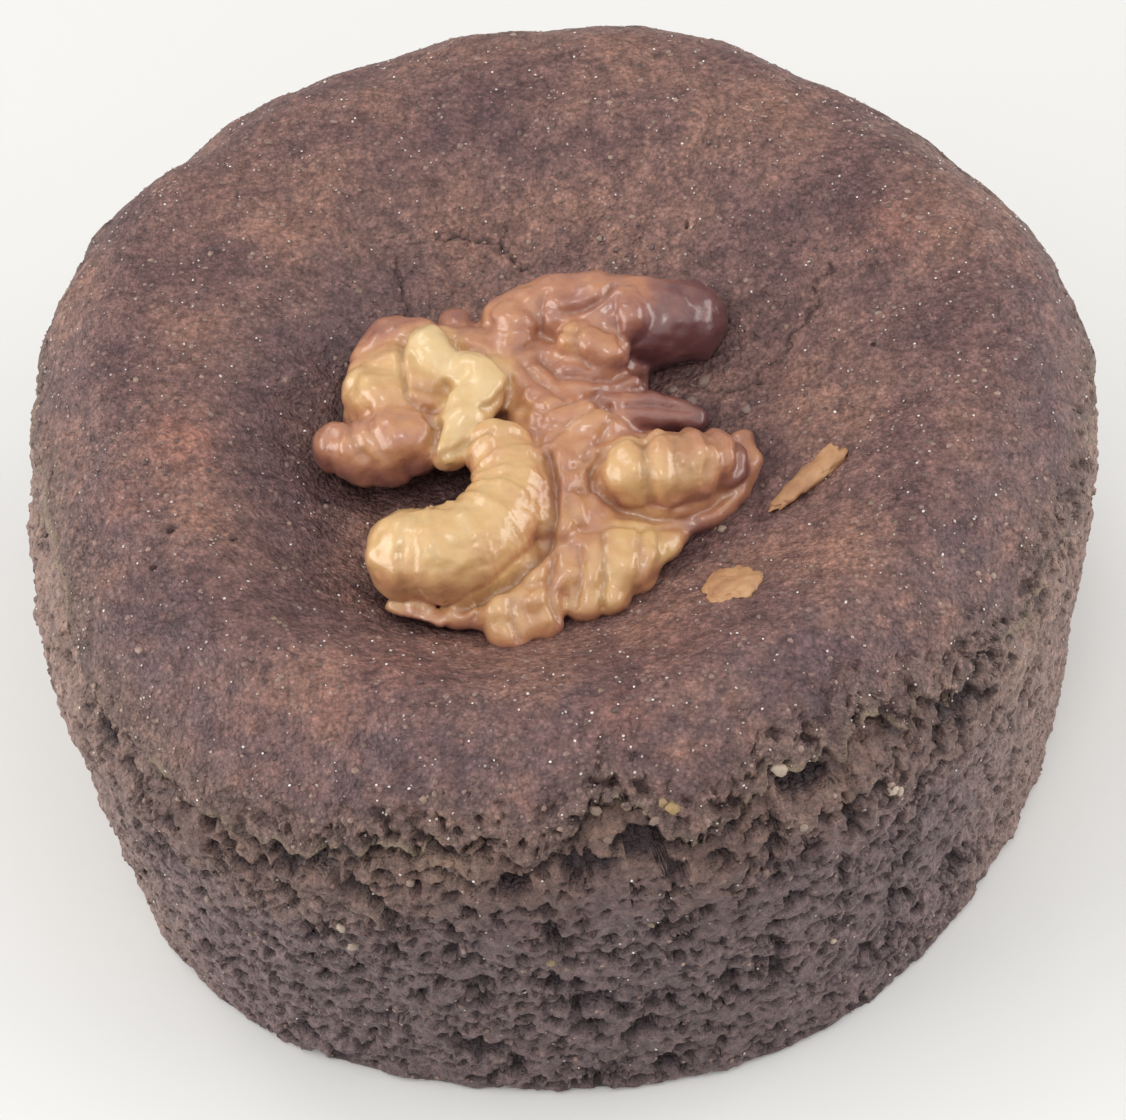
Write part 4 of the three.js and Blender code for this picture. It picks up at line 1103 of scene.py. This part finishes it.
def chip_mesh():
    """Uneven lumps that follow the slope of the crust under them."""
    bm = bmesh.new()
    chip = bm.verts.layers.int.new("chip")
    for number in range(len(NUT_CHIPS)):
        for vertex in bmesh.ops.create_icosphere(bm, subdivisions=5, radius=1.0)["verts"]:
            vertex[chip] = number
    mesh = mesh_of(bm, "nut_chips")
    ball = vertex_places(mesh)
    number_of = np.empty(len(ball), np.int32)
    mesh.attributes["chip"].data.foreach_get("value", number_of)
    for number, ((x, y), half, turn, rough, thicker) in enumerate(NUT_CHIPS):
        mine = number_of == number
        lump = ball[mine]
        share = np.clip(np.abs(lump[:, 0]), 0, 1)
        blunt = np.sqrt((1 - share ** CHIP_BLUNTNESS) / np.maximum(1 - share ** 2, 1e-6))
        lump[:, 1:] *= (np.clip(blunt, 1, 2.2) * (1 + thicker * lump[:, 0]))[:, None]
        lump = lump * half
        dents = noise_at(lump, 0.9, number * 9.0) + 0.5 * noise_at(lump, 0.35, 4.0)
        lump = lump * (1 + rough * dents)[:, None]
        along, beside = math.cos(math.radians(turn)), math.sin(math.radians(turn))
        px = x + lump[:, 0] * along - lump[:, 1] * beside
        py = y + lump[:, 0] * beside + lump[:, 1] * along
        ball[mine] = np.stack([px, py, crust_height(px, py) + CHIP_LIFT + lump[:, 2]], axis=1)
    set_places(mesh, ball)
    return mesh


chip_finish, chip_shader, chip_object = finish("baked_nut", 0.5)
chip_shader.inputs["Subsurface Weight"].default_value = 0.1
chip_shader.inputs["Subsurface Radius"].default_value = (0.001, 0.0005, 0.0003)
chip_colour = ramp(chip_finish, grain(chip_finish, chip_object, 600, 3.0, 0.6), (
    (0.34, (0.350, 0.170, 0.085)), (0.50, (0.430, 0.225, 0.108)), (0.66, (0.490, 0.280, 0.140)),
))
paint(chip_finish, chip_shader, chip_colour)
bump(chip_finish, chip_shader, ((grain(chip_finish, chip_object, 1800, 3.0, 0.6), 0.00012),))
make_piece("nut_chips", chip_mesh(), chip_finish, "cake")

# ---------------------------------------------------------------------------
# Loose grains: crumbs of crust that cling all over the skin of the cake. They
# broke off as it was turned out of its tin, and make its surface sandy.
# ---------------------------------------------------------------------------
TOP_GRAINS, SIDE_GRAINS = 5600, 3900
GRAIN_RADIUS = (0.07, 0.22)                        # mm
GRAIN_FLATNESS = 0.55
FINE_ONES = 2.4                                    # power that makes fine grains commoner than coarse
BALL_GAP = 3.0                                     # between the balls in the row they are made in
draw = np.random.default_rng(12)


def loose_balls(name, count, rounds):
    """Mesh of a row of separate small balls, and how many corners each has."""
    bm = bmesh.new()
    bmesh.ops.create_icosphere(bm, subdivisions=rounds, radius=1.0)
    corners = len(bm.verts)
    row = bpy.data.objects.new(name, mesh_of(bm, name))
    bpy.context.scene.collection.objects.link(row)
    copies = row.modifiers.new("copies", "ARRAY")
    copies.count = count
    copies.use_relative_offset = False
    copies.use_constant_offset = True
    copies.constant_offset_displace = (BALL_GAP, 0, 0)
    return solid_mesh(row, name), corners


def scatter(name, seats, outward, radii, flatness, rounds=1):
    """Uneven grains that sit on the skin at seats, flattened along its outward direction."""
    mesh, corners = loose_balls(name, len(seats), rounds)
    ball = vertex_places(mesh)
    copy = np.arange(len(ball)) // corners
    ball[:, 0] -= BALL_GAP * copy
    ball *= draw.uniform(0.72, 1.25, (len(ball), 1))
    steep = np.abs(outward[:, 2:]) > 0.8
    side = np.cross(outward, np.where(steep, (1.0, 0.0, 0.0), (0.0, 0.0, 1.0)))
    side /= np.linalg.norm(side, axis=1)[:, None]
    other = np.cross(outward, side)
    spin = draw.uniform(0, 2 * math.pi, (len(seats), 1))
    first = side * np.cos(spin) + other * np.sin(spin)
    second = other * np.cos(spin) - side * np.sin(spin)
    longer = draw.uniform(0.85, 1.4, (len(seats), 1))
    size = radii[:, None]
    places = (first * size * longer)[copy] * ball[:, :1] + (second * size)[copy] * ball[:, 1:2]
    places += (outward * size * flatness)[copy] * ball[:, 2:] + seats[copy]
    set_places(mesh, places)
    store(mesh, "tone", draw.uniform(0, 1, len(seats))[copy])
    return mesh


KERNEL_CLEARANCE = 0.1                             # mm
HIGHEST_DARKNESS = 0.35                            # of painted shade in a hole that still holds a grain
SIDE_HEIGHTS = (0.5, 25.0)                         # between which grains cling to the side, mm
open_top = (ring_of == 0) & (kernel_gap > KERNEL_CLEARANCE)
top_seats, top_facing = top_seats[open_top], top_facing[open_top]
side_parts = [skin_points(wedge.data) for wedge in crumb_wedges]
side_seats = np.concatenate([seats for seats, _ in side_parts])
side_facing = np.concatenate([facing for _, facing in side_parts])
side_hole = np.concatenate([
    np.array([item.value for item in wedge.data.attributes["hole"].data]) for wedge in crumb_wedges
])
shown = (np.hypot(side_seats[:, 0], side_seats[:, 1]) > BASE_RADIUS * 0.9) & (side_hole < HIGHEST_DARKNESS)
shown &= (side_seats[:, 2] > SIDE_HEIGHTS[0]) & (side_seats[:, 2] < SIDE_HEIGHTS[1])
side_seats, side_facing = side_seats[shown], side_facing[shown]


def pick_seats(top_count, side_count, sink):
    """Random seats on the top and on the side, sunk a little into the skin."""
    top = draw.integers(0, len(top_seats), top_count)
    side = draw.integers(0, len(side_seats), side_count)
    facing = np.concatenate([top_facing[top], side_facing[side]])
    return np.concatenate([top_seats[top], side_seats[side]]) - sink * facing, facing


grain_seats, grain_facing = pick_seats(TOP_GRAINS, SIDE_GRAINS, 0.04)
least, most = GRAIN_RADIUS
grain_radii = least + (most - least) * draw.uniform(0, 1, len(grain_seats)) ** FINE_ONES
grain_mesh = scatter("crust_grains", grain_seats, grain_facing, grain_radii, GRAIN_FLATNESS)
grain_finish, grain_shader, grain_object = finish("crust_grain", 0.5)
grain_colour = ramp(grain_finish, attribute(grain_finish, "tone"), (
    (0.0, (0.095, 0.057, 0.054)), (0.45, (0.165, 0.102, 0.088)), (0.8, (0.240, 0.155, 0.128)),
    (1.0, (0.320, 0.220, 0.175)),
))
grain_speckle = ramp(grain_finish, grain(grain_finish, grain_object, 3000, 3.0, 0.6), (
    (0.3, (0.7, 0.7, 0.7)), (0.7, (1.3, 1.3, 1.3)),
))
paint(grain_finish, grain_shader, blend_colours(grain_finish, 1.0, grain_colour, grain_speckle, "MULTIPLY"))
bump(grain_finish, grain_shader, ((grain(grain_finish, grain_object, 5000, 2.0, 0.6), 0.00005),))
make_piece("crust_grains", grain_mesh, grain_finish, "cake")

# ---------------------------------------------------------------------------
# Glints: tiny glossy beads all over the crust, fewer on the crumb, that catch the
# light. Their pale colour, up to near white, is painted highlight.
# ---------------------------------------------------------------------------
TOP_GLINTS, SIDE_GLINTS = 1500, 450
GLINT_RADIUS = (0.035, 0.085)
glint_seats, glint_facing = pick_seats(TOP_GLINTS, SIDE_GLINTS, -0.03)
glint_radii = draw.uniform(*GLINT_RADIUS, len(glint_seats))
glint_mesh = scatter("glint_beads", glint_seats, glint_facing, glint_radii, 0.8)
glint_finish, glint_shader, _ = finish("glint_gloss", 0.18)
glint_shader.inputs["Specular IOR Level"].default_value = 0.8
# Painted highlight: the beads run from brown to near white.
glint_colour = ramp(glint_finish, attribute(glint_finish, "tone"), (
    (0.0, (0.34, 0.27, 0.25)), (0.7, (0.55, 0.48, 0.45)), (1.0, (0.90, 0.86, 0.82)),
))
paint(glint_finish, glint_shader, glint_colour)
make_piece("glint_beads", glint_mesh, glint_finish, "cake")

# ---------------------------------------------------------------------------
# Pale crumbs: cream and yellow bits of nut and dough stuck to the torn edge,
# to the side, and on the crust beside the kernel.
# ---------------------------------------------------------------------------
PALE_CRUMBS = (                                    # place in mm, radius, tone from cream to yellow
    ((10.9, -27.7, 26.7), 0.42, 0.1), ((16.8, -26.1, 22.0), 0.40, 0.0), ((17.3, -25.9, 21.9), 0.28, 0.05),
    ((5.2, -29.1, 26.6), 0.34, 0.9), ((4.7, -29.0, 26.7), 0.24, 0.8), ((11.9, -28.8, 23.2), 0.24, 0.3),
    ((13.9, -27.3, 10.1), 0.20, 0.1), ((3.9, -30.6, 18.1), 0.22, 0.6), ((-19.9, -24.3, 14.9), 0.22, 0.3),
    ((-11.9, -28.5, 15.3), 0.30, 0.2), ((-1.4, -30.5, 14.9), 0.26, 0.7), ((-8.2, -29.8, 22.3), 0.24, 0.4),
    ((-12.2, -28.5, 17.2), 0.26, 0.1), ((9.4, -11.0, 26.3), 0.30, 0.3), ((8.5, -1.3, 26.3), 0.40, 0.45),
    ((7.6, -0.4, 26.3), 0.30, 0.45), ((11.4, -2.7, 26.5), 0.32, 0.45), ((9.3, -0.2, 26.4), 0.42, 0.45),
    ((1.6, -29.0, 26.4), 0.26, 0.5), ((2.4, -29.3, 26.3), 0.22, 0.55), ((3.0, -29.0, 26.5), 0.28, 0.5),
    ((3.8, -29.2, 26.2), 0.20, 0.6), ((4.3, -29.5, 26.0), 0.24, 0.5), ((2.0, -29.6, 25.8), 0.20, 0.5),
)
RANDOM_CRUMBS = 30                                 # smaller ones, all over
RANDOM_RADIUS = (0.1, 0.2)
all_seats = np.concatenate([top_seats, side_seats])
all_facing = np.concatenate([top_facing, side_facing])
named = [int(np.argmin(np.linalg.norm(all_seats - place, axis=1))) for place, _, _ in PALE_CRUMBS]
more_seats, more_facing = pick_seats(RANDOM_CRUMBS // 2, RANDOM_CRUMBS // 2, 0.0)
crumb_seats = np.concatenate([all_seats[named], more_seats])
crumb_facing = np.concatenate([all_facing[named], more_facing])
more_radii = draw.uniform(*RANDOM_RADIUS, len(more_seats))
crumb_radii = np.concatenate([[radius for _, radius, _ in PALE_CRUMBS], more_radii])
pale_mesh = scatter("pale_crumbs", crumb_seats, crumb_facing, crumb_radii, 0.7, rounds=2)
crumb_tones = np.concatenate([[tone for _, _, tone in PALE_CRUMBS], draw.uniform(0.1, 0.6, len(more_seats))])
store(pale_mesh, "yellow", np.repeat(crumb_tones, len(pale_mesh.vertices) // len(crumb_tones)))
pale_finish, pale_shader, pale_object = finish("pale_crumb", 0.5)
pale_colour = ramp(pale_finish, attribute(pale_finish, "yellow"), (
    (0.0, (0.480, 0.385, 0.300)), (0.2, (0.340, 0.260, 0.205)), (0.45, (0.215, 0.145, 0.122)),
    (0.6, (0.235, 0.175, 0.112)), (0.9, (0.330, 0.220, 0.100)),
))
paint(pale_finish, pale_shader, pale_colour)
bump(pale_finish, pale_shader, ((grain(pale_finish, pale_object, 2600, 3.0, 0.6), 0.00012),))
make_piece("pale_crumbs", pale_mesh, pale_finish, "cake")
